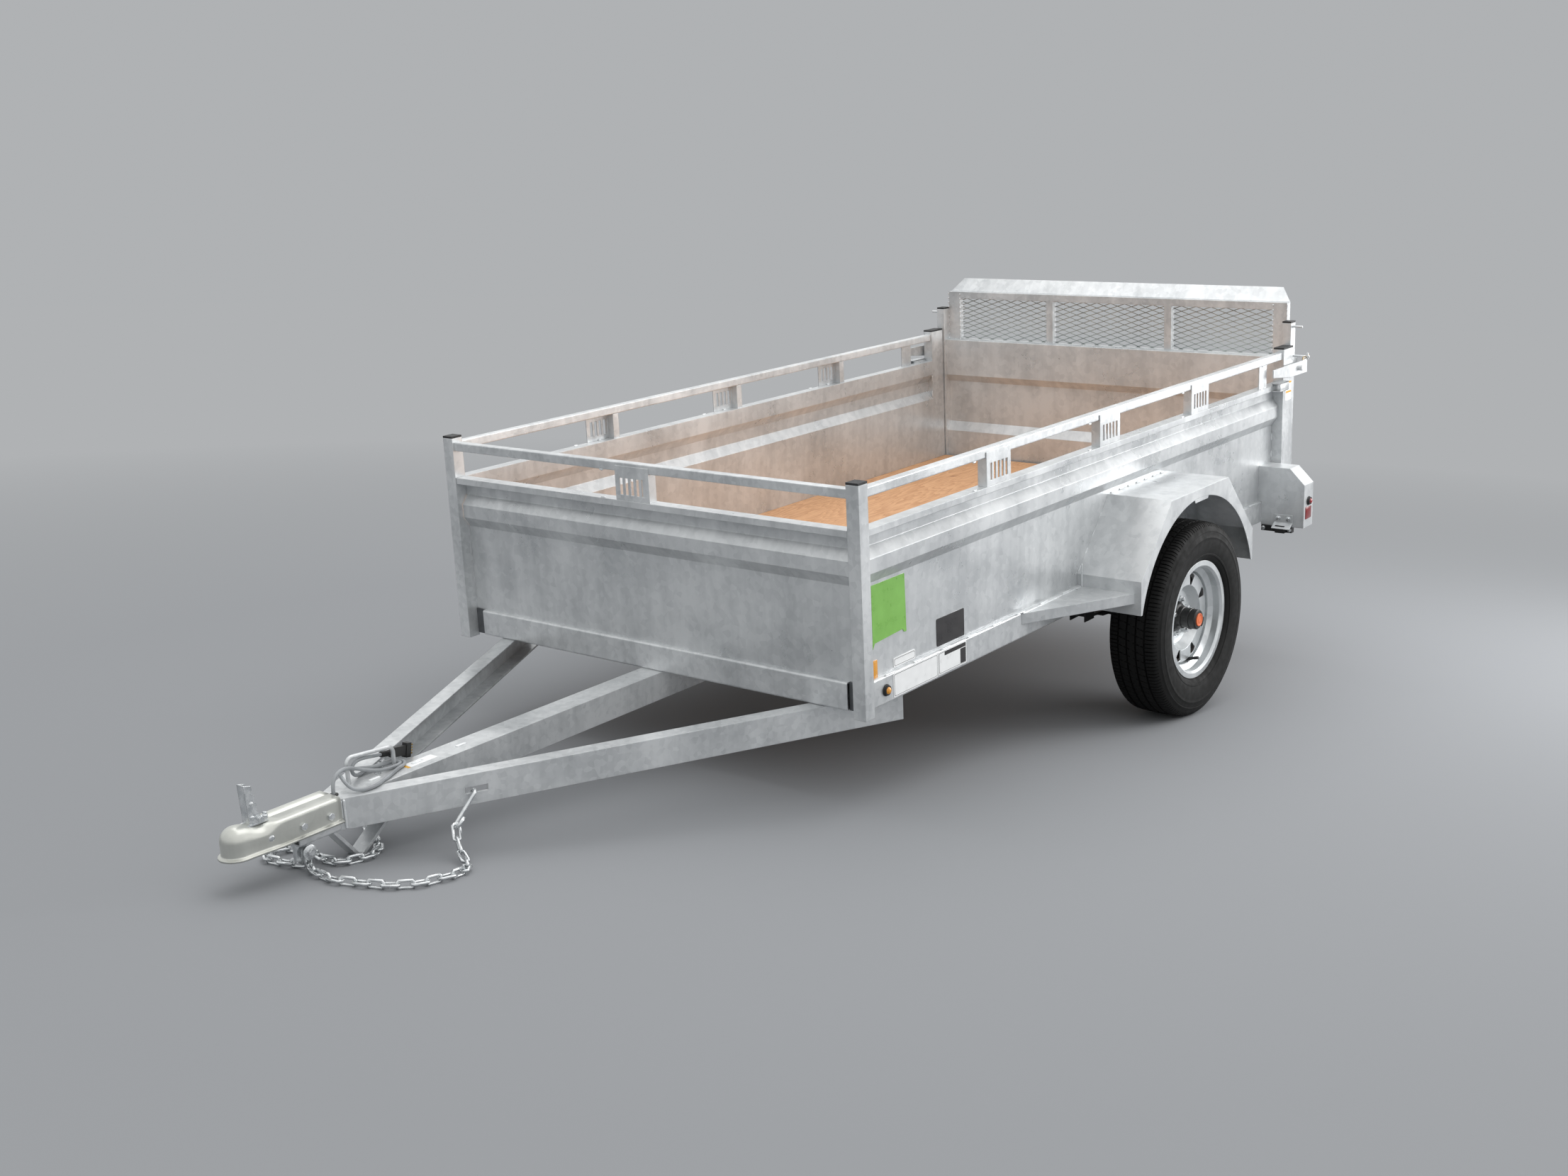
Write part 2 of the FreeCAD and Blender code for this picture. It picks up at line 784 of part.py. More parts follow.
centre_half = size.centre_width / 2
flange_edge = size.channel_flange / cos_of(size.tongue_angle)
wedge_tip = -tongue_apex + flange_edge / tongue_slope
wedge_end = -tongue_apex + (flange_edge + centre_half) / tongue_slope
centre_rear = size.cross_first
centre_path = [(0, wedge_tip), (centre_half, wedge_end), (centre_half, centre_rear),
               (-centre_half, centre_rear), (-centre_half, wedge_end)]
centre_solid = prism("centre_solid", "xy", centre_path, tongue_bottom, tongue_top)
centre_hollow = box("centre_hollow", (-centre_half + size.centre_wall, centre_half - size.centre_wall),
                    (wedge_end, centre_rear + 1),
                    (tongue_bottom + size.centre_wall, tongue_top - size.centre_wall))
node("tongue_tube", cut("centre_tube", centre_solid, centre_hollow))

# Coupler: a pressed hood over the tongue's tip, with a domed socket for the tow ball
ball_z = tongue_top - size.ball_drop
hood_half = size.centre_width / 2
hood_low = tongue_top - size.coupler_skirt
hood_high = tongue_top + size.coupler_gap
hood_inner = hood_half - size.coupler_wall
hood_top = hood_high + size.coupler_wall
brim_top = hood_low + size.coupler_wall
hood_path = [
    (-hood_half - size.coupler_brim, hood_low), (-hood_inner, hood_low), (-hood_inner, hood_high),
    (hood_inner, hood_high), (hood_inner, hood_low), (hood_half + size.coupler_brim, hood_low),
    (hood_half + size.coupler_brim, brim_top), (hood_half, brim_top), (hood_half, hood_top),
    (-hood_half, hood_top), (-hood_half, brim_top), (-hood_half - size.coupler_brim, brim_top)]
hood = prism("hood", "xz", hood_path, ball_y, ball_y + size.coupler_length)
dome_radius = size.ball_radius + size.ball_gap + size.dome_wall
dome = doc.addObject("Part::Sphere", "socket_dome")
dome.setExpression("Radius", dome_radius.text)
skirt = cylinder("socket_skirt", "z", (0, ball_y), dome_radius, ball_z - size.socket_lip_drop, ball_z)
lip_bottom = ball_z - size.socket_lip_drop
lip = cylinder("socket_lip", "z", (0, ball_y), dome_radius + size.coupler_brim, lip_bottom,
               lip_bottom + size.coupler_wall)
cavity = doc.addObject("Part::Sphere", "socket_cavity")
cavity.setExpression("Radius", (size.ball_radius + size.ball_gap).text)
for sphere in (dome, cavity):
    sphere.setExpression("Placement.Base.y", ball_y.text)
    sphere.setExpression("Placement.Base.z", ball_z.text)
mouth = cylinder("socket_mouth", "z", (0, ball_y), size.ball_radius + size.ball_gap,
                 lip_bottom - 1, ball_z)
shell = fuse("coupler_shell", hood, dome, skirt, lip)
node("coupler", cut("coupler_socket", shell, cavity, mouth))

# Tube at the tongue's tip, inside the coupler's hood, that the two channels are welded to
nose_half = hood_inner - size.coupler_gap
node("tongue_nose", tube("nose_tube", "xz", (-nose_half, nose_half), (tongue_bottom, tongue_top),
                         ball_y + size.nose_back, ball_y + size.tongue_end_back,
                         size.centre_wall, size.beam_corner))

# Latch lever on the coupler, standing up behind the dome
lever_foot = ball_y + dome_radius
lever_path = [
    (lever_foot, hood_top), (lever_foot + size.lever_width, hood_top),
    (lever_foot + size.lever_width, hood_top + size.lever_shoulder),
    (lever_foot + size.lever_thick * 2, hood_top + size.lever_waist),
    (lever_foot + size.lever_thick, hood_top + size.lever_height),
    (lever_foot, hood_top + size.lever_height)]
node("coupler_lever", prism("lever", "yz", lever_path, -size.lever_width / 2, size.lever_width / 2))


def bent_bar(name, points, thick, half_width, bend):
    """A flat bar bent along points seen from the side, with its thickness outside the bends."""
    face = rounded_wire(points, bend).makeOffset2D(thick, fill=True, openResult=True, join=0)
    face.translate(Vec(-half_width, 0, 0))
    bar = doc.addObject("Part::Feature", name)
    bar.Shape = face.extrude(Vec(half_width * 2, 0, 0))
    return bar


def rounded_wire(points, bend):
    """Straight runs between points, joined by arcs that touch both runs."""
    edges, start = [], points[0]
    for before, corner, after in zip(points, points[1:], points[2:]):
        back, ahead = (before - corner).normalize(), (after - corner).normalize()
        half = back.getAngle(ahead) / 2
        reach = bend / math.tan(half)
        first, last = corner + back * reach, corner + ahead * reach
        crown = corner + (back + ahead).normalize() * (bend / math.sin(half) - bend)
        edges += [Part.LineSegment(start, first).toShape(), Part.Arc(first, crown, last).toShape()]
        start = last
    edges.append(Part.LineSegment(start, points[-1]).toShape())
    return Part.Wire(edges)


# Foot: a flat bar bent to a V under the tongue, which the parked trailer rests on
foot_y = ball_y + size.foot_back
foot_corner = Vec(0, foot_y.number, (tongue_bottom - size.foot_depth).number)
foot_front = Vec(0, -size.foot_front_reach.number, size.foot_depth.number)
foot_rear = Vec(0, size.foot_rear_reach.number, size.foot_depth.number)
foot_inner_bend = (size.foot_bend - size.foot_thick).number
overrun = size.foot_overrun.number
foot_bar = bent_bar("foot_bar", [foot_corner + foot_front * overrun, foot_corner,
                                 foot_corner + foot_rear * overrun],
                    size.foot_thick.number, (size.foot_width / 2).number, foot_inner_bend)
foot_above = box("foot_above", (-size.foot_width, size.foot_width),
                 (foot_y - size.foot_rear_reach * 2, foot_y + size.foot_rear_reach * 2),
                 (tongue_bottom, tongue_bottom + size.foot_depth))
node("foot", cut("foot_trimmed", foot_bar, foot_above))

# Wheels: steel rims with eight windows, radial tyres, and hubs on the axle's spindles
axle_y, axle_z = size.axle_back, -size.axle_drop
wheel_x = size.half_width + size.wheel_offset
rim_half = size.rim_width / 2
well_inner = size.bead_radius - size.rim_well - size.rim_steel
face_x = -size.disc_face
back_x = face_x - size.rim_steel


def sided(path, side):
    """A wheel's outline on its own side of the trailer, outboard being away from the middle."""
    if side > 0:
        return path
    return [Bend(-item.radius) if isinstance(item, Bend) else (-length(item[0]), item[1]) for item in path]


def wheel_sketch(body, name, side, role, path, turn=0.0):
    """A sketch whose own origin is the wheel's centre."""
    sketch = attached_sketch(body, role, name)
    sketch.AttachmentOffset = FreeCAD.Placement(Vec(), Turn(Vec(0, 0, 1), turn))
    centre_x = wheel_x * side
    places = (centre_x, axle_y, axle_z) if role == "XY_Plane" else (axle_y, axle_z, centre_x)
    for axis, place in zip("xyz", places):
        sketch.setExpression(f"AttachmentOffset.Base.{axis}", place.text)
    trace(sketch, path)
    return sketch


def turned(body, name, sketch):
    """The sketch turned once round the axle line."""
    solid = body.newObject("PartDesign::Revolution", name)
    solid.Profile = sketch
    solid.ReferenceAxis = (sketch, ["H_Axis"])
    solid.Angle = 360
    return solid


def tyre(name, side):
    """A radial tyre: bead, bulged side wall, square shoulder and slightly crowned tread."""
    body = doc.addObject("PartDesign::Body", f"{name}_body")
    gap = size.bead_gap
    bead = rim_half - size.rim_steel - gap
    hump = rim_half - size.rim_hump - gap
    wide = size.tyre_width / 2
    belly = (size.rim_radius + size.tyre_radius) / 2
    shoulder_low = size.tyre_radius - size.shoulder_round
    tread_edge = size.tyre_radius - size.tread_drop
    half_path = [
        (bead, size.bead_radius + size.rim_flange_curve + gap), (bead, size.rim_radius + gap),
        Bend(size.side_curve_low), (wide, belly), Bend(size.side_curve_high),
        (size.tyre_shoulder, shoulder_low), Bend(size.shoulder_round), (size.tread_half, tread_edge)]
    mirror = [Bend(item.radius) if isinstance(item, Bend) else (-item[0], item[1])
              for item in reversed(half_path)]
    half, drop = size.tread_half, size.tread_drop
    crown = (half * half + drop * drop) / (drop * 2)
    path = [(-hump, size.bead_radius + gap), (hump, size.bead_radius + gap)]
    path += half_path + [Bend(crown)] + mirror
    turned(body, f"{name}_turned", wheel_sketch(body, f"{name}_outline", side, "XY_Plane", path))
    return body


def inboard(row):
    """The same corners on the wheel's other face, in the opposite order."""
    return [(-across, up) for across, up in reversed(row)]


def rim(name, side):
    """A rolled rim with a drop centre, and a dished disc with eight rounded windows."""
    body = doc.addObject("PartDesign::Body", f"{name}_body")
    steel = size.rim_steel
    seat, well = size.bead_radius, size.bead_radius - size.rim_well
    outside = [(rim_half, size.rim_radius), (rim_half - steel, size.rim_radius),
               (rim_half - steel, seat + size.rim_flange_curve), (rim_half - size.rim_hump, seat),
               (rim_half - size.rim_seat, seat), (rim_half - size.rim_well_side, well)]
    inside = [(rim_half - size.rim_well_side + steel / 2, well - steel),
              (rim_half - size.rim_seat + steel / 2, seat - steel),
              (rim_half - size.rim_hump + steel / 2, seat - steel),
              (rim_half, seat + size.rim_flange_curve - steel / 2)]
    path = outside + inboard(outside) + inboard(inside) + inside
    turned(body, f"{name}_barrel", wheel_sketch(
        body, f"{name}_barrel_outline", side, "XY_Plane", sided(path, side)))
    crest = size.disc_crest
    edge = well_inner + steel / 2
    disc = [(face_x, size.disc_bore), (face_x, size.disc_seat_radius), (crest, size.disc_crest_inner),
            (crest, size.disc_crest_outer), (crest - size.disc_shoulder, edge),
            (crest - size.disc_shoulder - steel, edge), (crest - steel, size.disc_crest_outer),
            (crest - steel, size.disc_crest_inner + steel / 2),
            (back_x, size.disc_seat_radius + steel / 2), (back_x, size.disc_bore)]
    turned(body, f"{name}_disc", wheel_sketch(
        body, f"{name}_disc_outline", side, "XY_Plane", sided(disc, side)))
    doc.recompute()
    wide, tip = size.window_half_width, size.window_tip
    window = [(tip, size.window_inner), (wide, size.window_outer - tip), Bend(size.window_crown),
              (-wide, size.window_outer - tip), (-tip, size.window_inner), Bend(size.window_foot)]
    sketch = wheel_sketch(body, f"{name}_window", side, "YZ_Plane", window,
                          turn=size.window_turn.number)
    pocket = body.newObject("PartDesign::Pocket", f"{name}_window_cut")
    pocket.Profile = sketch
    pocket.Type = "ThroughAll"
    pocket.Midplane = True
    pattern = body.newObject("PartDesign::PolarPattern", f"{name}_windows")
    pattern.Originals = [pocket]
    pattern.Axis = (sketch, ["N_Axis"])
    pattern.Angle = 360
    pattern.setExpression("Occurrences", size.window_count.text)
    body.Tip = pattern
    return body


def hub(name, side):
    """A hub with a blind bore for the spindle, a flange behind the disc and a long grease cap."""
    body = doc.addObject("PartDesign::Body", f"{name}_body")
    bore = size.spindle_radius + size.spindle_gap
    cap_corner = size.hub_cap_corner
    bore_end = -size.hub_inboard + size.spindle_reach
    path = [(-size.hub_inboard, bore), (-size.hub_inboard, size.hub_radius), (back_x, size.hub_radius),
            (back_x, size.hub_cap_radius), (size.hub_cap_end - cap_corner, size.hub_cap_radius),
            (size.hub_cap_end, size.hub_cap_radius - cap_corner), (size.hub_cap_end, 0),
            (bore_end, 0), (bore_end, bore)]
    turned(body, f"{name}_turned", wheel_sketch(
        body, f"{name}_outline", side, "XY_Plane", sided(path, side)))
    return body


for side_name, side in SIDES:
    node(f"tyre_{side_name}", tyre(f"tyre_{side_name}", side))
    node(f"rim_{side_name}", rim(f"rim_{side_name}", side))
    node(f"hub_{side_name}", hub(f"hub_{side_name}", side))

# Axle beam with a spindle at each end and a seat under each spring
spring_x = (beam_inner + beam_outer) / 2
half_leaf = size.leaf_width / 2
half_axle = size.axle_side / 2
beam_end = wheel_x - size.hub_inboard - size.hub_clearance
spindle_end = wheel_x - size.hub_inboard + size.spindle_reach - size.spindle_gap
axle_parts = [box("axle_beam", (-beam_end, beam_end), (axle_y - half_axle, axle_y + half_axle),
                  (axle_z - half_axle, axle_z + half_axle))]
seat_top = axle_z + half_axle + size.spring_seat
for side_name, side in SIDES:
    axle_parts.append(cylinder(f"spindle_{side_name}", "x", (axle_y, axle_z), size.spindle_radius,
                               *mirrored((beam_end, spindle_end), side)))
    axle_parts.append(box(f"spring_seat_{side_name}",
                          mirrored((spring_x - half_leaf, spring_x + half_leaf), side),
                          (axle_y - half_axle, axle_y + half_axle), (axle_z + half_axle, seat_top)))
node("axle", fuse("axle_welded", *axle_parts))

# Leaf springs: three leaves bent round one centre, with rolled eyes, hung from the side beams
main_bottom = seat_top + size.leaf_thick * 2
leaf_bend = (size.spring_half_length * size.spring_half_length
             + size.spring_rise * size.spring_rise) / (size.spring_rise * 2)
leaf_centre = main_bottom + leaf_bend
eye_z = main_bottom + size.spring_rise + size.eye_radius


def leaf(name, number, x):
    """One leaf: the main one is number 0, and each below it is shorter by a step at both ends."""
    reach = size.spring_half_length - size.leaf_step * number
    outer = leaf_bend + size.leaf_thick * number
    inner = outer - size.leaf_thick
    low = leaf_centre - root_of(outer * outer - reach * reach)
    high = leaf_centre - root_of(inner * inner - reach * reach)
    path = [(axle_y - reach, low), Bend(outer), (axle_y + reach, low),
            (axle_y + reach, high), Bend(-inner), (axle_y - reach, high)]
    return prism(name, "yz", path, *x)


def hanger(name, y, x, pin_x):
    """Two ears under the side beam with the spring's pin between them."""
    ear = size.hanger_plate
    span_y = (y - size.hanger_width / 2, y + size.hanger_width / 2)
    span_z = (eye_z - size.hanger_drop, size.beam_bottom)
    gap = size.hanger_gap
    outer = box(f"{name}_outer", (x[1] + gap, x[1] + gap + ear), span_y, span_z)
    inner = box(f"{name}_inner", (x[0] - gap - ear, x[0] - gap), span_y, span_z)
    pin = cylinder(f"{name}_pin", "x", (y, eye_z), size.spring_pin_radius, *pin_x)
    return fuse(name, outer, inner, pin)


def clamp(name, x):
    """Two plates and four rods that hold the spring down on the axle."""
    rod = size.clamp_rod
    reach_x = rod + size.clamp_margin
    top = main_bottom + size.leaf_thick + size.clamp_gap
    bottom = axle_z - half_axle - size.clamp_gap
    side_y = half_axle + rod + size.clamp_margin
    edge = rod + size.clamp_edge
    plate_x = (x[0] - reach_x - edge, x[1] + reach_x + edge)
    plate_y = (axle_y - side_y - edge, axle_y + side_y + edge)
    pieces = [box(f"{name}_top", plate_x, plate_y, (top, top + size.clamp_plate)),
              box(f"{name}_bottom", plate_x, plate_y, (bottom - size.clamp_plate, bottom))]
    for k, (rod_x, rod_y) in enumerate(((x[0] - reach_x, -side_y), (x[0] - reach_x, side_y),
                                        (x[1] + reach_x, -side_y), (x[1] + reach_x, side_y))):
        pieces.append(cylinder(f"{name}_rod{k}", "z", (rod_x, axle_y + rod_y), rod, bottom, top))
    return fuse(name, *pieces)


clamps, hangers = [], []
for side_name, side in SIDES:
    x = mirrored((spring_x - half_leaf, spring_x + half_leaf), side)
    grip = size.hanger_gap + size.hanger_plate
    pin_x = (x[0] - grip, x[1] + grip)
    leaves = [leaf(f"leaf_{side_name}{number}", number, x) for number in range(3)]
    ends = [axle_y - size.spring_half_length, axle_y + size.spring_half_length]
    eyes = [cylinder(f"eye_{side_name}{k}", "x", (y, eye_z), size.eye_radius, *x)
            for k, y in enumerate(ends)]
    bores = [cylinder(f"eye_bore_{side_name}{k}", "x", (y, eye_z),
                      size.spring_pin_radius + size.spindle_gap, x[0] - 1, x[1] + 1)
             for k, y in enumerate(ends)]
    node(f"spring_{side_name}", cut(f"spring_bored_{side_name}",
                                    fuse(f"spring_solid_{side_name}", *leaves, *eyes), *bores))
    hangers += [hanger(f"hanger_{side_name}{k}", y, x, pin_x) for k, y in enumerate(ends)]
    clamps.append(clamp(f"clamp_{side_name}", x))
node("spring_hangers", *hangers)
node("spring_clamps", *clamps)

# Fenders: a folded strip over each wheel, a skirt with the wheel arch, and a step plate in front
fender_outer = size.half_width + size.fender_reach
fender_front = axle_y - size.fender_length / 2
fender_rear = axle_y + size.fender_length / 2


def fender(name, side):
    run = (size.fender_length - size.fender_flat) / 2
    rise = size.fender_top - size.fender_shoulder
    steel = size.fender_sheet
    low_turn = steel * half_tan(run, rise)
    high_turn = steel * half_tan(rise, run)
    outer = [(fender_front, size.fender_bottom), (fender_front, size.fender_shoulder),
             (fender_front + run, size.fender_top), (fender_rear - run, size.fender_top),
             (fender_rear, size.fender_shoulder), (fender_rear, size.fender_bottom)]
    inner = [(fender_rear - steel, size.fender_bottom),
             (fender_rear - steel, size.fender_shoulder - low_turn),
             (fender_rear - run - high_turn, size.fender_top - steel),
             (fender_front + run + high_turn, size.fender_top - steel),
             (fender_front + steel, size.fender_shoulder - low_turn),
             (fender_front + steel, size.fender_bottom)]
    strip_x = mirrored((post_inner, fender_outer - steel), side)
    strip = prism(f"{name}_strip", "yz", outer + inner, *strip_x)
    frame_zone = box(f"{name}_frame_zone", mirrored((beam_inner, beam_outer), side),
                     (fender_front - 1, fender_rear + 1), (size.beam_bottom - 1, beam_top))
    skirt_x = mirrored((fender_outer - steel, fender_outer), side)
    skirt = prism(f"{name}_skirt", "yz", outer, *skirt_x)
    arch = cylinder(f"{name}_arch", "x", (axle_y, axle_z), size.arch_radius, skirt_x[0] - 1, skirt_x[1] + 1)
    return fuse(name, cut(f"{name}_folded", strip, frame_zone), cut(f"{name}_arched", skirt, arch),
                *step_plate(f"{name}_step", side))


def step_plate(name, side):
    """A three-cornered plate in front of the fender, folded down along its slanting edge."""
    steel = size.fender_sheet
    start, end = fender_front - size.gusset_length, fender_front
    reach = beam_outer + size.gusset_reach
    slant = size.gusset_length / size.gusset_reach
    depth_y = steel * root_of(slant * slant + 1)
    depth_x = depth_y / slant
    top = [(beam_outer * side, start), (reach * side, end), (beam_outer * side, end)]
    lip = [(beam_outer * side, start), (reach * side, end), ((reach - depth_x) * side, end),
           (beam_outer * side, start + depth_y)]
    plate = prism(f"{name}_top", "xy", top, size.gusset_top - steel, size.gusset_top)
    edge = prism(f"{name}_lip", "xy", lip, size.gusset_top - size.gusset_lip, size.gusset_top - steel)
    return [plate, edge]


for side_name, side in SIDES:
    node(f"fender_{side_name}", fender(f"fender_{side_name}", side))

# Lamp boxes behind the fenders, with the tail lamps, side markers and front markers
lamp_box_front = size.box_length - size.lamp_box_back
lamp_box_rear = lamp_box_front + size.lamp_box_depth
lamp_box_outer = size.half_width + size.lamp_box_reach
lamps, markers = [], []
for side_name, side in SIDES:
    chamfer = size.lamp_box_chamfer
    outline = [(beam_outer, size.lamp_box_bottom), (lamp_box_outer, size.lamp_box_bottom),
               (lamp_box_outer, size.lamp_box_top - chamfer),
               (lamp_box_outer - chamfer, size.lamp_box_top),
               (post_inner, size.lamp_box_top), (post_inner, beam_top), (beam_outer, beam_top)]
    node(f"lamp_box_{side_name}", prism(
        f"lamp_housing_{side_name}", "xz", [(across * side, up) for across, up in outline],
        lamp_box_front, lamp_box_rear))
    lamp_x = mirrored((lamp_box_outer - size.plate_margin - size.lamp_width,
                       lamp_box_outer - size.plate_margin), side)
    lamp_z = (size.lamp_box_bottom + size.plate_margin,
              size.lamp_box_bottom + size.plate_margin + size.lamp_height)
    lamps.append(prism(f"lamp_{side_name}", "xz", rounded(lamp_x, lamp_z, size.beam_corner),
                       lamp_box_rear, lamp_box_rear + size.lamp_depth))
    middle = (lamp_box_front + lamp_box_rear) / 2
    markers.append(cylinder(f"side_marker_{side_name}", "x", (middle, size.side_marker_height),
                            size.marker_radius, *mirrored(
                                (lamp_box_outer, lamp_box_outer + size.marker_depth), side)))
    markers.append(cylinder(f"front_marker_{side_name}", "x", (size.marker_back, size.marker_height),
                            size.marker_radius, *mirrored(
                                (beam_outer, beam_outer + size.marker_depth), side)))
node("tail_lamps", *lamps)
node("marker_lamps", *markers)

# Parking: the line that touches the foot's bend and the tyres from below becomes level
front_leg, rear_leg = foot_front.normalize(), foot_rear.normalize()
half_angle = front_leg.getAngle(rear_leg) / 2
bend_centre = foot_corner + (front_leg + rear_leg).normalize() * (foot_inner_bend / math.sin(half_angle))
wheel_centre = Vec(0, axle_y.number, axle_z.number)
reach = wheel_centre - bend_centre
drop = math.asin((size.tyre_radius - size.foot_bend).number / reach.Length)
park_turn = Turn(Vec(1, 0, 0), math.degrees(drop - math.atan2(reach.z, reach.y)))
lift = size.foot_bend.number - park_turn.multVec(bend_centre).z

# Safety chains: a tab and a bolt under the coupler, and two chains that lie on the parked floor
chain_y = ball_y + size.chain_bolt_back
chain_z = tongue_bottom - size.chain_bolt_drop
half_tab = size.chain_tab_thick / 2
tab_z = (tongue_bottom - size.chain_tab_drop, tongue_bottom)
tab = box("chain_tab_plate", (-half_tab, half_tab),
          (ball_y + size.chain_tab_front, ball_y + size.chain_tab_rear), tab_z)
tab_bore = cylinder("chain_tab_bore", "x", (chain_y, chain_z),
                    size.chain_bolt_radius + size.chain_bolt_gap, -half_tab - 1, half_tab + 1)
node("chain_tab", cut("chain_tab_bored", tab, tab_bore))
washer_x = (size.chain_washer_place, size.chain_washer_place + size.chain_washer_thick)
bolt_pieces = [cylinder("chain_bolt_shank", "x", (chain_y, chain_z), size.chain_bolt_radius,
                        -washer_x[1], washer_x[1])]
for side_name, side in SIDES:
    bolt_pieces.append(cylinder(f"chain_washer_{side_name}", "x", (chain_y, chain_z),
                                size.chain_washer_radius, *mirrored(washer_x, side)))
    bolt_pieces.append(cylinder(
        f"chain_bolt_head_{side_name}", "x", (chain_y, chain_z), size.chain_head_radius,
        *mirrored((washer_x[1], washer_x[1] + size.chain_head_thick), side)))
node("chain_bolt", fuse("chain_bolt_fused", *bolt_pieces))

# The routes were chosen by hand from the photo. They stand on the parked floor, in millimetres, and
# are measured from the point under the level trailer's own zero.
LINK_ON_FLOOR = 11.45
LEFT_ROUTE = [(38, -1149, LINK_ON_FLOOR), (70, -1155, LINK_ON_FLOOR), (102, -1157, LINK_ON_FLOOR),
              (134, -1151, LINK_ON_FLOOR), (163, -1138, LINK_ON_FLOOR), (194, -1123, LINK_ON_FLOOR),
              (222, -1110, LINK_ON_FLOOR), (249, -1090, LINK_ON_FLOOR), (270, -1067, LINK_ON_FLOOR),
              (285, -1039, LINK_ON_FLOOR), (290, -1007, LINK_ON_FLOOR), (296, -975, LINK_ON_FLOOR),
              (299, -944, LINK_ON_FLOOR), (288, -913, LINK_ON_FLOOR), (266, -890, LINK_ON_FLOOR),
              (240, -877, 15), (213, -868, 31), (195, -859, 56), (187.2, -854, 78.6)]
RIGHT_ROUTE = [(-39, -1149, LINK_ON_FLOOR), (-68, -1162, LINK_ON_FLOOR), (-98, -1169, LINK_ON_FLOOR),
               (-128, -1157, LINK_ON_FLOOR), (-142, -1128, LINK_ON_FLOOR), (-134, -1096, LINK_ON_FLOOR),
               (-106, -1075, LINK_ON_FLOOR), (-72, -1073, LINK_ON_FLOOR), (-40, -1079, LINK_ON_FLOOR),
               (-8, -1086, LINK_ON_FLOOR), (22, -1082, LINK_ON_FLOOR), (44, -1058, LINK_ON_FLOOR),
               (52, -1024, LINK_ON_FLOOR), (52, -990, LINK_ON_FLOOR), (38, -962, LINK_ON_FLOOR),
               (15, -944, LINK_ON_FLOOR), (-11, -928, LINK_ON_FLOOR), (-39, -913, LINK_ON_FLOOR),
               (-67, -898, LINK_ON_FLOOR), (-96, -884, LINK_ON_FLOOR), (-124, -871, 14), (-149, -861, 29),
               (-165, -852, 50), (-173, -845, 69.5)]
HOOK_TOPS = {"left": Vec(175.6, -784.8, 144.8), "right": Vec(-175.5, -785.6, 144.0)}
UPRIGHT = Vec(0, 0, 1)
ROLL_STEP = math.radians(20)
STEEP = 0.6
LINE_STEP = 0.2
SEAT_TRIES = 14
SEAT_GAP = (0.08, 0.7)
HOOK_SEAT = 4.5
SECOND_BACK = 1.0
HOOK_INNER_END = 1.5
to_level = FreeCAD.Placement(Vec(0, 0, lift), park_turn).inverse()


def ring_solid(corners, wire, normal):
    """A closed ring of square wire whose centre line runs through the corners in one plane."""
    centre = sum(corners, Vec()) * (1 / len(corners))
    outlines = []
    for grow, rise in ((1, -1), (1, 1), (-1, 1), (-1, -1)):
        row = []
        for k, corner in enumerate(corners):
            before = (corner - corners[k - 1]).normalize()
            after = (corners[(k + 1) % len(corners)] - corner).normalize()
            outward = (corner - centre)
            across = normal.cross(before + after).normalize()
            if across.dot(outward) < 0:
                across = -across
            reach = (wire / 2) / math.cos(before.getAngle(after) / 2)
            row.append(corner + across * (reach * grow) + normal * (wire / 2 * rise))
        outlines.append(row)
    faces = []
    for inner, outer in zip(outlines, outlines[1:] + outlines[:1]):
        for k in range(len(corners)):
            after = (k + 1) % len(corners)
            quad = [inner[k], inner[after], outer[after], outer[k], inner[k]]
            faces.append(Part.Face(Part.makePolygon(quad)))
    shell = Part.Shell(faces)
    solid = Part.Solid(shell)
    if solid.Volume < 0:
        solid.reverse()
    return solid


def chain_link(centre, along, normal):
    """One link as a ring of eight straight sides."""
    across = normal.cross(along)
    long_half, wide_half = size.link_half_length.number, size.link_half_width.number
    corner = size.link_corner.number
    spots = [(long_half, wide_half - corner), (long_half - corner, wide_half),
             (corner - long_half, wide_half), (-long_half, wide_half - corner)]
    spots += [(-x, -y) for x, y in spots]
    corners = [centre + along * x + across * y for x, y in spots]
    return ring_solid(corners, size.link_wire.number, normal)


def smooth_line(route):
    """Closely set points on a smooth curve through the route."""
    curve = Part.BSplineCurve()
    curve.interpolate([Vec(*spot) for spot in route])
    return curve.toShape().discretize(Distance=LINE_STEP)


def rolled(last, along, normal, inward):
    """The next link's normal: a quarter turn on from the last link's, and then turned a little so that
    a link on the floor stands up or lies flat, and one that hangs faces the hook."""
    normal = Turn(along, 90).multVec(Turn(last, along).multVec(normal))
    guide = UPRIGHT if abs(along.z) < STEEP else inward
    side = guide.cross(along).normalize()
    rise = along.cross(side)
    wanted = max([side, rise, -side, -rise], key=normal.dot)
    sense = math.copysign(1, along.dot(normal.cross(wanted)))
    angle = min(normal.getAngle(wanted), ROLL_STEP) * sense
    normal = Turn(along, math.degrees(angle)).multVec(normal)
    return (normal - along * normal.dot(along)).normalize()


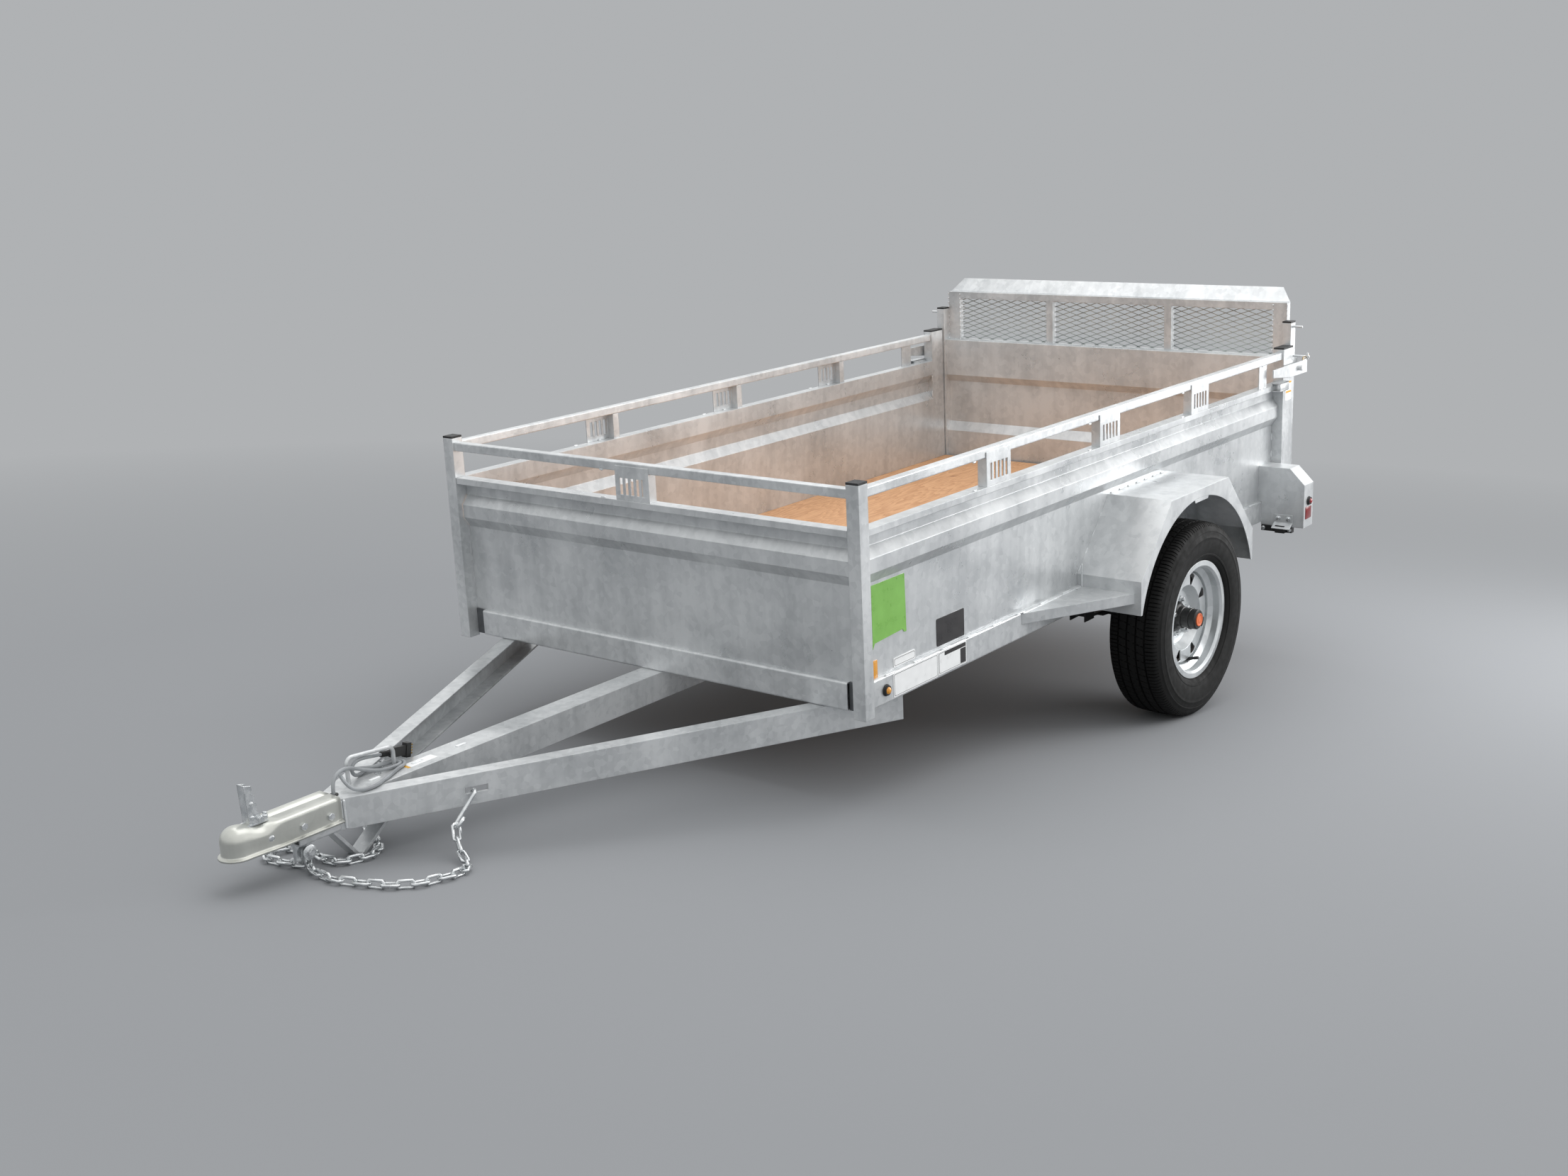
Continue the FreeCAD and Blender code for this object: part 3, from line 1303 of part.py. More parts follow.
def lay_chain(bolt_top, line, inward):
    """One link down from the bolt, then links along the line, each drawn on until it all but touches
    the last. It ends with the line, and gives the place where the hook's bend sits."""
    pitch = size.link_pitch.number
    hang = bolt_top - UPRIGHT * pitch
    links, normal, last = [chain_link((bolt_top + hang) * 0.5, -UPRIGHT, Vec(1, 0, 0))], Vec(1, 0, 0), -UPRIGHT
    near, end = 0, bolt_top
    while True:
        for _ in range(SEAT_TRIES):
            far = next((k for k in range(near, len(line)) if (line[k] - line[near]).Length >= pitch), None)
            if far is None:
                return links, end, last, (line[-1] - end).Length
            along = (line[far] - line[near]).normalize()
            turned_normal = rolled(last, along, normal, inward)
            link = chain_link((line[near] + line[far]) * 0.5, along, turned_normal)
            gap = link.distToShape(links[-1])[0]
            if gap < SEAT_GAP[0]:
                near = max(near - 2, 0)
            elif gap > SEAT_GAP[1]:
                near += 1 + int((gap - SEAT_GAP[1]) / LINE_STEP)
            else:
                break
        links.append(link)
        normal, last, end = turned_normal, along, line[far]
        near = far


def round_bar(points, radius, bend):
    """A round bar along straight runs and the arcs that join them."""
    path = rounded_wire(points, bend)
    start = points[0]
    ring = Part.Wire(Part.makeCircle(radius, start, (points[1] - start).normalize()))
    return path.makePipeShell([ring], True, False)


def s_hook(top, bottom, inward):
    """The S-hook in the plane of its two bends: its top bend goes in through the channel's slot."""
    reach, span = size.hook_reach.number, size.hook_length.number
    run = (bottom - top).normalize()
    inner = (inward - run * inward.dot(run)).normalize()
    lean = math.atan2(reach * 2, span)
    down = run * math.cos(lean) + inner * math.sin(lean)
    inside = inner * math.cos(lean) - run * math.sin(lean)
    tip = size.hook_tip.number
    spots = [(reach * HOOK_INNER_END, reach), (0, reach), (0, -reach), (span, -reach), (span, -reach * 3),
             (span - tip, -reach * 3)]
    points = [top + down * s + inside * t for s, t in spots]
    return round_bar(points, size.hook_wire.number, size.hook_bend.number)


def fixed(name, shape):
    """A finished shape, brought back from the parked floor to the level trailer."""
    piece = doc.addObject("Part::Feature", name)
    piece.Shape = shape.transformed(to_level.Matrix, copy=True)
    return piece


bolt_parked = to_level.inverse().multVec(Vec(0, chain_y.number, chain_z.number))
hang_gap = size.chain_bolt_gap.number
half_wire = (size.link_wire / 2).number
half_pitch = (size.link_pitch / 2).number
hang_reach = size.link_half_length.number - half_wire - hang_gap
hang_centre = bolt_parked.z - hang_reach + size.chain_bolt_radius.number
web_turn = math.radians(size.tongue_angle.number)
for side_name, side, route in (("left", 1, LEFT_ROUTE), ("right", -1, RIGHT_ROUTE)):
    link_x = (half_tab.number + washer_x[0].number) / 2 * side
    bolt_top = Vec(link_x, bolt_parked.y, hang_centre + half_pitch)
    toward = (Vec(*route[0]) - Vec(link_x, bolt_parked.y, route[0][2])).normalize()
    second = Vec(link_x, bolt_parked.y, hang_centre - size.link_half_length.number)
    second += toward * (hang_reach - half_wire - half_pitch - SECOND_BACK)
    inward = Vec(-math.cos(web_turn) * side, math.sin(web_turn), 0)
    links, link_end, last_run, left_over = lay_chain(bolt_top, smooth_line([tuple(second)] + route), inward)
    pieces = [fixed(f"link_{side_name}{k}", link) for k, link in enumerate(links)]
    hook_bottom = link_end - last_run * HOOK_SEAT
    hook_top = HOOK_TOPS[side_name]
    pieces.append(fixed(f"hook_{side_name}", s_hook(hook_top, hook_bottom, inward)))
    print(f"chain_{side_name}: {len(links)} links, {left_over:.1f} mm of its line left, "
          f"hook ends {(hook_bottom - hook_top).Length:.1f} apart")
    node(f"chain_{side_name}", *pieces)

# Guide loop for the cable on top of the tongue
def bar_piece(name, points, radius, bend):
    piece = doc.addObject("Part::Feature", name)
    piece.Shape = round_bar(points, radius, bend)
    return piece


loop_x = size.loop_side.number
loop_points = [Vec(loop_x, -size.loop_front.number, tongue_top.number),
               Vec(loop_x, -size.loop_front.number, size.loop_front_top.number),
               Vec(loop_x, -size.loop_rear.number, size.loop_rear_top.number),
               Vec(loop_x, -size.loop_rear.number, tongue_top.number)]
node("cable_loop", bar_piece("loop_bar", loop_points, size.loop_wire.number, size.loop_bend.number))

# Trailer cable: it leaves the tongue through a grommet and lies through the loop in two turns. The
# route was chosen by hand from the photo, which shows it end to end, so its length is the route's.
CORD_ROUTE = [
    (0, -1061, 9.5), (0, -1061, 26), (-4, -1054, 41), (-9, -1038, 52), (-12, -1014, 55.5),
    (-13.5, -988, 47), (-13.5, -960, 34), (-13.5, -932, 23), (-14, -905, 15), (-15, -877, 12.6),
    (-15, -848.5, 12.5), (-30, -840, 12.5), (-45, -848.5, 12.5), (-45.5, -876, 13.5), (-46, -905, 17),
    (-46.5, -935, 23.5), (-47, -963, 30.5), (-46.5, -988, 36.5), (-40, -1009, 41), (-24, -1022, 42),
    (-6, -1029, 37.5), (11, -1031, 27), (29, -1027, 16.5), (44, -1013, 12.6), (50, -992, 12.5),
    (46, -968, 12.5), (37, -944, 12.5), (25, -917, 12.5), (12, -890, 12.5), (1, -866, 12.5),
    (-5.5, -843, 12.5), (-30, -829, 12.5), (-54.5, -843, 12.5), (-56, -870, 12.5), (-55.5, -898, 12.5),
    (-52, -925, 12.5), (-45, -948, 12.8), (-38, -965, 16), (-33, -977, 25), (-31, -981, 38),
    (-31, -975, 50), (-31.5, -960, 55), (-33, -938, 53.5), (-37, -911, 48), (-41.5, -885, 42.5)]
ARC_SHARE = 0.45


def routed_wire(points):
    """Runs between the route's points, each corner rounded as far as its shorter run lets it."""
    edges, start, radii = [], points[0], []
    for before, corner, after in zip(points, points[1:], points[2:]):
        back, ahead = before - corner, after - corner
        reach = ARC_SHARE * min(back.Length, ahead.Length)
        back.normalize()
        ahead.normalize()
        half = back.getAngle(ahead) / 2
        radius = reach * math.tan(half)
        first, last = corner + back * reach, corner + ahead * reach
        crown = corner + (back + ahead).normalize() * (radius / math.sin(half) - radius)
        edges += [Part.LineSegment(start, first).toShape(), Part.Arc(first, crown, last).toShape()]
        radii.append(round(radius, 1))
        start = last
    edges.append(Part.LineSegment(start, points[-1]).toShape())
    return Part.Wire(edges), radii


cord_points = [Vec(*spot) for spot in CORD_ROUTE]
cord_wire, cord_radii = routed_wire(cord_points)
cord_start = (cord_points[1] - cord_points[0]).normalize()
cord_ring = Part.Wire(Part.makeCircle(size.cord_radius.number, cord_points[0], cord_start))
cord = doc.addObject("Part::Feature", "trailer_cable")
cord.Shape = cord_wire.makePipeShell([cord_ring], True, False)
print(f"cord {cord_wire.Length:.0f} mm long, bends of {min(cord_radii)} mm and more: {cord_radii}")
node("cord", cord)
grommet_centre = (length(CORD_ROUTE[0][0]), length(CORD_ROUTE[0][1]))
node("grommet", cylinder("grommet_disc", "z", grommet_centre, size.grommet_radius, tongue_top,
                         tongue_top + size.grommet_thick))

# Trailer plug: a tapered relief, a flat body, a flange and four pins, along the cable's last run
plug_run = size.plug_body_length
relief = size.plug_relief_length
plug_pieces = [
    cylinder("plug_relief", "y", (0, 0), size.plug_relief_radius, 0, relief),
    box("plug_body", (-size.plug_body_thick / 2, size.plug_body_thick / 2), (relief, relief + plug_run),
        (-size.plug_body_height / 2, size.plug_body_height / 2)),
    box("plug_flange", (-size.plug_flange_thick / 2, size.plug_flange_thick / 2),
        (relief + plug_run, relief + plug_run + size.plug_flange_length),
        (-size.plug_flange_height / 2, size.plug_flange_height / 2))]
PIN_COUNT = 4
pins_start = relief + plug_run + size.plug_flange_length
for k in range(PIN_COUNT):
    up = size.plug_pin_pitch * (k - (PIN_COUNT - 1) / 2)
    plug_pieces.append(cylinder(f"plug_pin{k}", "y", (0, up), size.plug_pin_radius, pins_start,
                                pins_start + size.plug_pin_length))
plug_whole = fuse("plug_whole", *plug_pieces)
plug_start = cord_points[-1]
plug_line = (cord_points[-1] - cord_points[-2]).normalize()
plug_turn = Turn(Vec(0, 1, 0), plug_line)
node("plug", moved("plug_placed", plug_whole, FreeCAD.Placement(plug_start, plug_turn)))

# Number-plate bracket with its hooded lamp, under the left lamp box's front face
bracket_middle = (beam_outer + lamp_box_outer) / 2
bracket_top = size.lamp_box_bottom
bracket_front = lamp_box_front - size.plate_bar_depth
bar_z = (bracket_top - size.plate_bar_height, bracket_top)
hood_z = (bracket_top - size.plate_bar_height, bracket_top - size.plate_bar_height + size.plate_hood_drop)
node("plate_bracket", fuse(
    "plate_bracket_fused",
    box("plate_bar", (bracket_middle - size.plate_bar, bracket_middle + size.plate_bar / 2),
        (bracket_front, lamp_box_front + size.plate_hood_depth), bar_z),
    box("plate_hood", (bracket_middle - size.plate_hood / 2, bracket_middle + size.plate_hood / 2),
        (bracket_front - size.plate_hood_depth, bracket_front), hood_z)))


# Gate: two stiles on pins at their lower ends, a sill, a pressed panel, and a mesh frame with a lip
gate_front = size.box_length + size.gate_gap
gate_rear = gate_front + size.stile_depth
stile_outer = size.half_width - size.stile_inset
stile_inner = stile_outer - size.stile_width
hinge_y = size.box_length + size.hinge_back
hinge_z = size.hinge_height
lug_x = (stile_outer + size.lug_gap, stile_outer + size.lug_gap + size.lug_plate)
stiles, gate_caps, lugs = [], [], []
for side_name, side in SIDES:
    x = mirrored((stile_inner, stile_outer), side)
    y = (gate_front, gate_rear)
    tube_solid = box(f"stile_{side_name}_tube", x, y, (hinge_z, size.stile_top))
    wall = size.stile_wall
    hollow = box(f"stile_{side_name}_hollow", (x[0] + wall, x[1] - wall), (y[0] + wall, y[1] - wall),
                 (hinge_z + size.cap_depth, size.stile_top + 1))
    pin = cylinder(f"stile_{side_name}_pin", "x", (hinge_y, hinge_z), size.pin_radius,
                   *mirrored((stile_inner, lug_x[1] + size.pin_end), side))
    stiles.append(cut(f"stile_{side_name}", fuse(f"stile_{side_name}_pinned", tube_solid, pin), hollow))
    gate_caps.append(cap(f"gate_cap_{side_name}", x, y, size.stile_top, size.stile_wall))
    round_end = size.knuckle_radius
    lug_path = [(size.box_length, hinge_z - round_end), (hinge_y, hinge_z - round_end), Bend(round_end),
                (hinge_y + round_end, hinge_z), Bend(round_end),
                (hinge_y, hinge_z + round_end), (size.box_length, hinge_z + round_end)]
    lug = prism(f"lug_{side_name}_plate", "yz", lug_path, *mirrored(lug_x, side))
    bore = cylinder(f"lug_{side_name}_bore", "x", (hinge_y, hinge_z), size.pin_radius + size.pin_gap,
                    *mirrored((lug_x[0] - 1, lug_x[1] + 1), side))
    lugs.append(cut(f"lug_{side_name}", lug, bore))
node("gate_stiles", *stiles)
node("gate_caps", *gate_caps)
node("hinge_lugs", *lugs)

sill_half = size.rail_tube / 2
sill_top = hinge_z + size.rail_tube
node("gate_sill", tube("gate_sill_tube", "yz", (hinge_y - sill_half, hinge_y + sill_half),
                       (hinge_z, sill_top), -stile_inner, stile_inner, size.rail_wall, size.rail_corner))

panel_front = gate_front + size.gate_panel_back
pressed = panel_front + size.gate_press_depth
steel = size.sheet
gate_profile = [
    (panel_front, sill_top), (panel_front, size.gate_press_bottom), (pressed, size.gate_press_lower),
    (pressed, size.gate_press_upper), (panel_front, size.gate_press_top),
    (panel_front, size.gate_panel_top), (gate_rear, size.gate_panel_top),
    (gate_rear, size.gate_panel_top - steel), (panel_front + steel, size.gate_panel_top - steel),
    (panel_front + steel, size.gate_press_top), (pressed + steel, size.gate_press_upper),
    (pressed + steel, size.gate_press_lower), (panel_front + steel, size.gate_press_bottom),
    (panel_front + steel, sill_top)]
node("gate_panel", prism("gate_sheet", "yz", gate_profile, -stile_inner, stile_inner))

mesh_y = (gate_rear, gate_rear + size.mesh_bar)
bar = size.mesh_bar
bars = [
    box("mesh_bottom_bar", (-stile_outer, stile_outer), mesh_y, (size.mesh_bottom, size.mesh_bottom + bar)),
    box("mesh_top_bar", (-stile_inner, stile_inner), mesh_y, (size.mesh_top - bar, size.mesh_top))]
for side_name, side in SIDES:
    high = size.mesh_top - bar
    low = size.mesh_bottom + bar
    bars.append(box(f"mesh_end_{side_name}", mirrored((stile_inner - bar * 2, stile_inner), side),
                    mesh_y, (low, high)))
    bars.append(box(f"mesh_upright_{side_name}", mirrored(
        (size.upright_place - size.upright_width / 2, size.upright_place + size.upright_width / 2), side),
        mesh_y, (low, high)))
node("mesh_frame", fuse("mesh_frame_welded", *bars))


def mesh():
    """Expanded metal: a sheet with rows of diamonds, every other row set over by half a pitch."""
    half_x = stile_inner - size.mesh_lap
    low, high = size.mesh_bottom + size.mesh_lap, size.mesh_top - size.mesh_lap
    y = (mesh_y[1], mesh_y[1] + size.mesh_sheet)
    blank = box("mesh_blank", (-half_x, half_x), y, (low, high))
    across, up = size.mesh_pitch_across, size.mesh_pitch_up
    ratio = across / up
    half_high = up / 2 - size.mesh_web
    half_wide = half_high * ratio
    rows = int(((high - low).number - up.number / 2) // (up.number / 2))
    columns = int((half_x.number * 2 - across.number) // across.number)
    holes = []
    for row in range(rows):
        shift = row % 2
        middle_z = low + size.mesh_strand + up * (row + 1) / 2
        for column in range(columns + 1 - shift):
            middle_x = across * (column - columns / 2 + shift / 2)
            path = [(middle_x - half_wide, middle_z), (middle_x, middle_z - half_high),
                    (middle_x + half_wide, middle_z), (middle_x, middle_z + half_high)]
            holes.append(prism(f"diamond_{row}_{column}", "xz", path, y[0] - 1, y[1] + 1))
    tool = doc.addObject("Part::Compound", "mesh_holes")
    tool.Links = holes
    return cut("mesh_cut", blank, tool)


node("gate_mesh", mesh())

lip_back = mesh_y[1] - size.lip_sheet
lip_outline = [(lip_back, size.mesh_top), (mesh_y[1], size.mesh_top),
               (mesh_y[1] + size.lip_lean, size.mesh_top + size.lip_rise),
               (lip_back + size.lip_lean, size.mesh_top + size.lip_rise)]
lip_blank = prism("lip_blank", "yz", lip_outline, -stile_inner, stile_inner)
lip_cut = size.lip_cut
lip_keep = prism("lip_keep", "xz", [
    (-stile_inner, size.mesh_top), (stile_inner, size.mesh_top),
    (stile_inner - lip_cut, size.mesh_top + size.lip_rise),
    (-stile_inner + lip_cut, size.mesh_top + size.lip_rise)], lip_back, mesh_y[1] + size.lip_lean)
node("gate_lip", common("lip_trimmed", lip_blank, lip_keep))

# Gate latches, outside the posts: a hooked plate, its bolt, and a pin across from the stile
latches = []
for side_name, side in SIDES:
    plate_x = mirrored((size.latch_side, size.latch_side + size.latch_thick), side)
    bolt_x = mirrored((size.latch_side + size.latch_thick,
                       size.latch_side + size.latch_thick + size.latch_bolt_head), side)
    plate_path = [(size.latch_front, size.latch_nose), (size.latch_step, size.latch_low),
                  (size.latch_rear, size.latch_low), (size.latch_rear, size.prong_top),
                  (size.prong_front, size.prong_top), (size.prong_front, size.latch_top),
                  (size.latch_front, size.latch_top)]
    plate = prism(f"latch_{side_name}_plate", "yz", plate_path, *plate_x)
    bolt_y = (gate_front + gate_rear) / 2
    bolt = cylinder(f"latch_{side_name}_bolt", "x", (bolt_y, size.latch_bolt_height),
                    size.latch_bolt_radius, *bolt_x)
    arm = cylinder(f"latch_{side_name}_arm", "x", (bolt_y, size.latch_bolt_height), size.latch_bolt_radius,
                   *mirrored((stile_outer, size.latch_side), side))
    pin = cylinder(f"latch_{side_name}_pin", "x", (bolt_y, size.latch_pin_height), size.latch_pin_radius,
                   *mirrored((stile_outer, stile_outer + size.latch_pin_length), side))
    stop = cylinder(f"latch_{side_name}_stop", "x", (bolt_y, size.stop_pin_height), size.latch_pin_radius,
                    *mirrored((stile_outer, stile_outer + size.stop_pin_length), side))
    latches += [fuse(f"latch_{side_name}", plate, bolt, arm), pin, stop]
node("gate_latches", *latches)

# The trailer is set down on its foot and tyres, with the middle of its box over the origin
doc.recompute()
for part in nodes.values():
    part.Placement = FreeCAD.Placement(Vec(0, 0, lift), park_turn)
spans = [part.Shape.optimalBoundingBox(False, False) for part in nodes.values()]
front, rear = min(span.YMin for span in spans), max(span.YMax for span in spans)
PARK = FreeCAD.Placement(Vec(0, -(front + rear) / 2, lift), park_turn)
for part in nodes.values():
    part.Placement = PARK
doc.recompute()

for item in doc.Objects:
    if "Invalid" in item.State or "Error" in item.State:
        raise RuntimeError(f"{item.Label} failed: {item.State}")
for name, part in nodes.items():
    if part.Shape.isNull() or not part.Shape.isValid():
        raise RuntimeError(f"{name} has no valid shape")
for name, part in nodes.items():
    part.Shape.exportStep(f"parts/{name}.step")
print(f"{len(nodes)} sub-parts, nose down by {math.degrees(park_turn.Angle):.2f} degrees")
print(f"placed at {PARK.Base}")
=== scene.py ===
import json
import math
import random

import bmesh
import bpy
from mathutils import Matrix, Vector


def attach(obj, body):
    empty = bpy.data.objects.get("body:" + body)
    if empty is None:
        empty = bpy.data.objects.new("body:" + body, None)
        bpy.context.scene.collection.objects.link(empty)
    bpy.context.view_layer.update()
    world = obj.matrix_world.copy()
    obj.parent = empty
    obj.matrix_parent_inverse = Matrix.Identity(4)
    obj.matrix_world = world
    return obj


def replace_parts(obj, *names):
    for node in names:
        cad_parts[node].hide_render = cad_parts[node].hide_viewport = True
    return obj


# The trailer is drawn level, in metres: X to its left, Y to the rear, Z up, with zero midway
# between the walls at the front face of the corner posts. It stands parked nose down on its foot,
# so the pins of wheel and gate in the frame give the turn and the shift from level to parked.
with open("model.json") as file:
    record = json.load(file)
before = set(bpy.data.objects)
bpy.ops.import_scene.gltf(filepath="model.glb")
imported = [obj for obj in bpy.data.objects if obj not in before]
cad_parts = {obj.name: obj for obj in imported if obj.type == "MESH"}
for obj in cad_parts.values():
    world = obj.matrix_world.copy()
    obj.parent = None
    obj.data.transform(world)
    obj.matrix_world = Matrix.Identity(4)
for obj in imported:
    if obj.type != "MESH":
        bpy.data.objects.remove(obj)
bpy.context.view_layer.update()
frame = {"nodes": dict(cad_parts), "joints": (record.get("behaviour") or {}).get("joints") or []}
pin_places = {joint["name"]: Vector(joint["pos_m"]) for joint in frame["joints"]}
WHEEL_PIN = Vector((0.8495, 1.507, -0.092))
GATE_PIN = Vector((0, 2.5982, 0.058))
level_run = GATE_PIN - WHEEL_PIN
parked_run = pin_places["gate_hinge"] - pin_places["wheel_left_spin"]
nose_down = math.atan2(parked_run.z, parked_run.y) - math.atan2(level_run.z, level_run.y)
parked = Matrix.Rotation(nose_down, 4, "X")
parked = Matrix.Translation(pin_places["wheel_left_spin"] - parked @ WHEEL_PIN) @ parked

# The photograph was taken from ahead of the trailer's left front corner, from a little above the
# height of its gate, with a lens of about 41 mm on a 36 mm frame and hardly any roll.
CAMERA_PLACE = Vector((3.2761, -3.4123, 1.5059))
CAMERA_RIGHT = Vector((0.78313, 0.62026, -0.04462))
CAMERA_AHEAD = Vector((-0.60841, 0.74936, -0.26133))
camera_up = CAMERA_RIGHT.cross(CAMERA_AHEAD)
into_scene = bpy.context.scene.collection.objects.link
camera_data = bpy.data.cameras.new("camera")
camera_data.lens = 41.216
camera_data.sensor_width = 36
camera = bpy.data.objects.new("camera", camera_data)
into_scene(camera)
camera_turn = Matrix((CAMERA_RIGHT, camera_up, -CAMERA_AHEAD)).transposed().to_4x4()
camera.matrix_world = parked @ Matrix.Translation(CAMERA_PLACE) @ camera_turn
bpy.context.scene.camera = camera
bpy.context.scene.view_settings.view_transform = "Standard"


# The trailer cable is a 9 mm grey PVC lead, just over a metre long, that comes up through a rubber
# grommet in the tongue and is wound twice through the guide loop. Its black plug lies on the turns,
# with four brass pins. The PVC is smooth and satin, a little dusty where it rubs on the loop.
CLOUD_GRAINS = 14


def linear(code, alpha=1.0):
    """A hex colour as the linear values that a shader takes."""
    parts = [int(code[k:k + 2], 16) / 255 for k in (1, 3, 5)]
    return [c / 12.92 if c < 0.04045 else ((c + 0.055) / 1.055) ** 2.4 for c in parts] + [alpha]


def add(tree, kind, inputs=None, stops=None, **settings):
    """One node with its settings. An input is a value or another node's socket."""
    made = tree.nodes.new("ShaderNode" + kind)
    for name, setting in settings.items():
        setattr(made, name, setting)
    for name, value in (inputs or {}).items():
        if isinstance(value, bpy.types.NodeSocket):
            tree.links.new(value, made.inputs[name])
        else:
            made.inputs[name].default_value = value
    if stops:
        ramp = made.color_ramp.elements
        while len(ramp) < len(stops):
            ramp.new(1)
        for element, (place, colour) in zip(ramp, stops):
            element.position = place
            element.color = colour
    return made


def new_finish(name, rough, metallic=0.0):
    """A material with its node tree and its shader, and where on the trailer a point lies."""
    material = bpy.data.materials.new(name)
    material.use_nodes = True
    tree = material.node_tree
    shader = tree.nodes["Principled BSDF"]
    shader.inputs["Roughness"].default_value = rough
    shader.inputs["Metallic"].default_value = metallic
    return material, tree, shader, add(tree, "TexCoord").outputs["Object"]


def speckled(name, dark, light, rough, grain_mm=2.0, depth_mm=0.1, metallic=0.0, spread=0.2):
    """A moulded, cast or painted finish: dark and light are the ends of its small clouds."""
    material, tree, shader, place = new_finish(name, rough, metallic)
    clouds = add(tree, "TexNoise", {"Vector": place, "Scale": 1000 / (grain_mm * CLOUD_GRAINS),
                                    "Detail": 4.0})
    colour = add(tree, "ValToRGB", {"Fac": clouds.outputs["Fac"]},
                 stops=[(0.5 - spread, linear(dark)), (0.5 + spread, linear(light))])
    gloss = add(tree, "MapRange", {"Value": clouds.outputs["Fac"], "From Min": 0.35,
                                   "From Max": 0.65, "To Min": max(rough - 0.07, 0.02),
                                   "To Max": min(rough + 0.09, 1.0)})
    grain = add(tree, "TexNoise", {"Vector": place, "Scale": 1000 / grain_mm, "Detail": 3.0})
    bump = add(tree, "Bump", {"Height": grain.outputs["Fac"], "Strength": 0.5,
                              "Distance": depth_mm / 1000})
    for socket, source in (("Base Color", colour), ("Roughness", gloss), ("Normal", bump)):
        tree.links.new(source.outputs[0], shader.inputs[socket])
    return material


grey_pvc = speckled("cable_grey_pvc", "#84878a", "#a3a7aa", 0.42, grain_mm=3.0, depth_mm=0.05)
black_pvc = speckled("plug_black_pvc", "#151515", "#222221", 0.46, grain_mm=1.0, depth_mm=0.08)
brass = speckled("turned_brass", "#b5904c", "#d9b876", 0.26, grain_mm=1.0, depth_mm=0.02,
                 metallic=1)

CABLE_ROUTE_MM = (
    (0, -1061, 9.5), (0, -1061, 26), (-4, -1054, 41), (-9, -1038, 52), (-12, -1014, 55.5),
    (-13.5, -988, 47), (-13.5, -960, 34), (-13.5, -932, 23), (-14, -905, 15), (-15, -877, 12.6),
    (-15, -848.5, 12.5), (-30, -840, 12.5), (-45, -848.5, 12.5), (-45.5, -876, 13.5),
    (-46, -905, 17), (-46.5, -935, 23.5), (-47, -963, 30.5), (-46.5, -988, 36.5), (-40, -1009, 41),
    (-24, -1022, 42), (-6, -1029, 37.5), (11, -1031, 27), (29, -1027, 16.5), (44, -1013, 12.6),
    (50, -992, 12.5), (46, -968, 12.5), (37, -944, 12.5), (25, -917, 12.5), (12, -890, 12.5),
    (1, -866, 12.5), (-5.5, -843, 12.5), (-30, -829, 12.5), (-54.5, -843, 12.5), (-56, -870, 12.5),
    (-55.5, -898, 12.5), (-52, -925, 12.5), (-45, -948, 12.8), (-38, -965, 16), (-33, -977, 25),
    (-31, -981, 38), (-31, -975, 50), (-31.5, -960, 55), (-33, -938, 53.5), (-37, -911, 48),
    (-41.5, -885, 42.5))
CABLE_DIAMETER = 0.009


def level_mm(*place):
    """A point of the level trailer, in millimetres, as a point in metres."""
    return Vector(place) / 1000


cable_line = bpy.data.curves.new("trailer_cable", "CURVE")
cable_line.dimensions = "3D"
cable_line.bevel_depth = CABLE_DIAMETER / 2
cable_line.bevel_resolution = 5
cable_line.resolution_u = 10
cable_line.use_fill_caps = True
cable_spline = cable_line.splines.new("NURBS")
cable_spline.points.add(len(CABLE_ROUTE_MM) - 1)
for knot, place in zip(cable_spline.points, CABLE_ROUTE_MM):
    knot.co = (*(parked @ level_mm(*place)), 1)
cable_spline.order_u = 3
cable_spline.use_endpoint_u = True
cable = bpy.data.objects.new("trailer_cable", cable_line)
cable_line.materials.append(grey_pvc)
into_scene(cable)
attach(cable, "trailer")
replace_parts(cable, "cord")


def coat(finish, *names):
    """Give CAD nodes their finish."""
    for name in names:
        frame["nodes"][name].data.materials.clear()
        frame["nodes"][name].data.materials.append(finish)


def fit(name, shape, finish, body="trailer", sharp=35):
    """A mesh drawn on the level trailer becomes a piece that rides on its body."""
    mesh = bpy.data.meshes.new(name)
    bmesh.ops.recalc_face_normals(shape, faces=shape.faces)
    shape.to_mesh(mesh)
    shape.free()
    mesh.transform(parked)
    mesh.materials.append(finish)
    mesh.shade_smooth()
    mesh.set_sharp_from_angle(angle=math.radians(sharp))
    piece = bpy.data.objects.new(name, mesh)
    into_scene(piece)
    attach(piece, body)
    return piece


def skin(shape, loops, ends=True):
    """Faces from each ring of points to the next, and a face over each end."""
    for low, high in zip(loops, loops[1:]):
        for k in range(len(low)):
            shape.faces.new((low[k], low[k - 1], high[k - 1], high[k]))
    if ends:
        shape.faces.new(loops[0])
        shape.faces.new(reversed(loops[-1]))


def turned(shape, start, ahead, rings, sides=32, turn=0.0):
    """Rings of (distance along, radius) in mm round a line: a rod, washer, rivet, nut or cap."""
    ahead = Vector(ahead).normalized()
    across = ahead.orthogonal().normalized()
    if abs(ahead.z) < 0.9:
        across = ahead.cross(Vector((0, 0, 1))).normalized()
    up = ahead.cross(across)
    loops = []
    for along, radius in rings:
        middle = level_mm(*start) + ahead * along / 1000
        loop = []
        for k in range(sides):
            angle = turn + math.tau * k / sides
            outward = across * math.cos(angle) + up * math.sin(angle)
            loop.append(shape.verts.new(middle + outward * radius / 1000))
        loops.append(loop)
    skin(shape, loops)


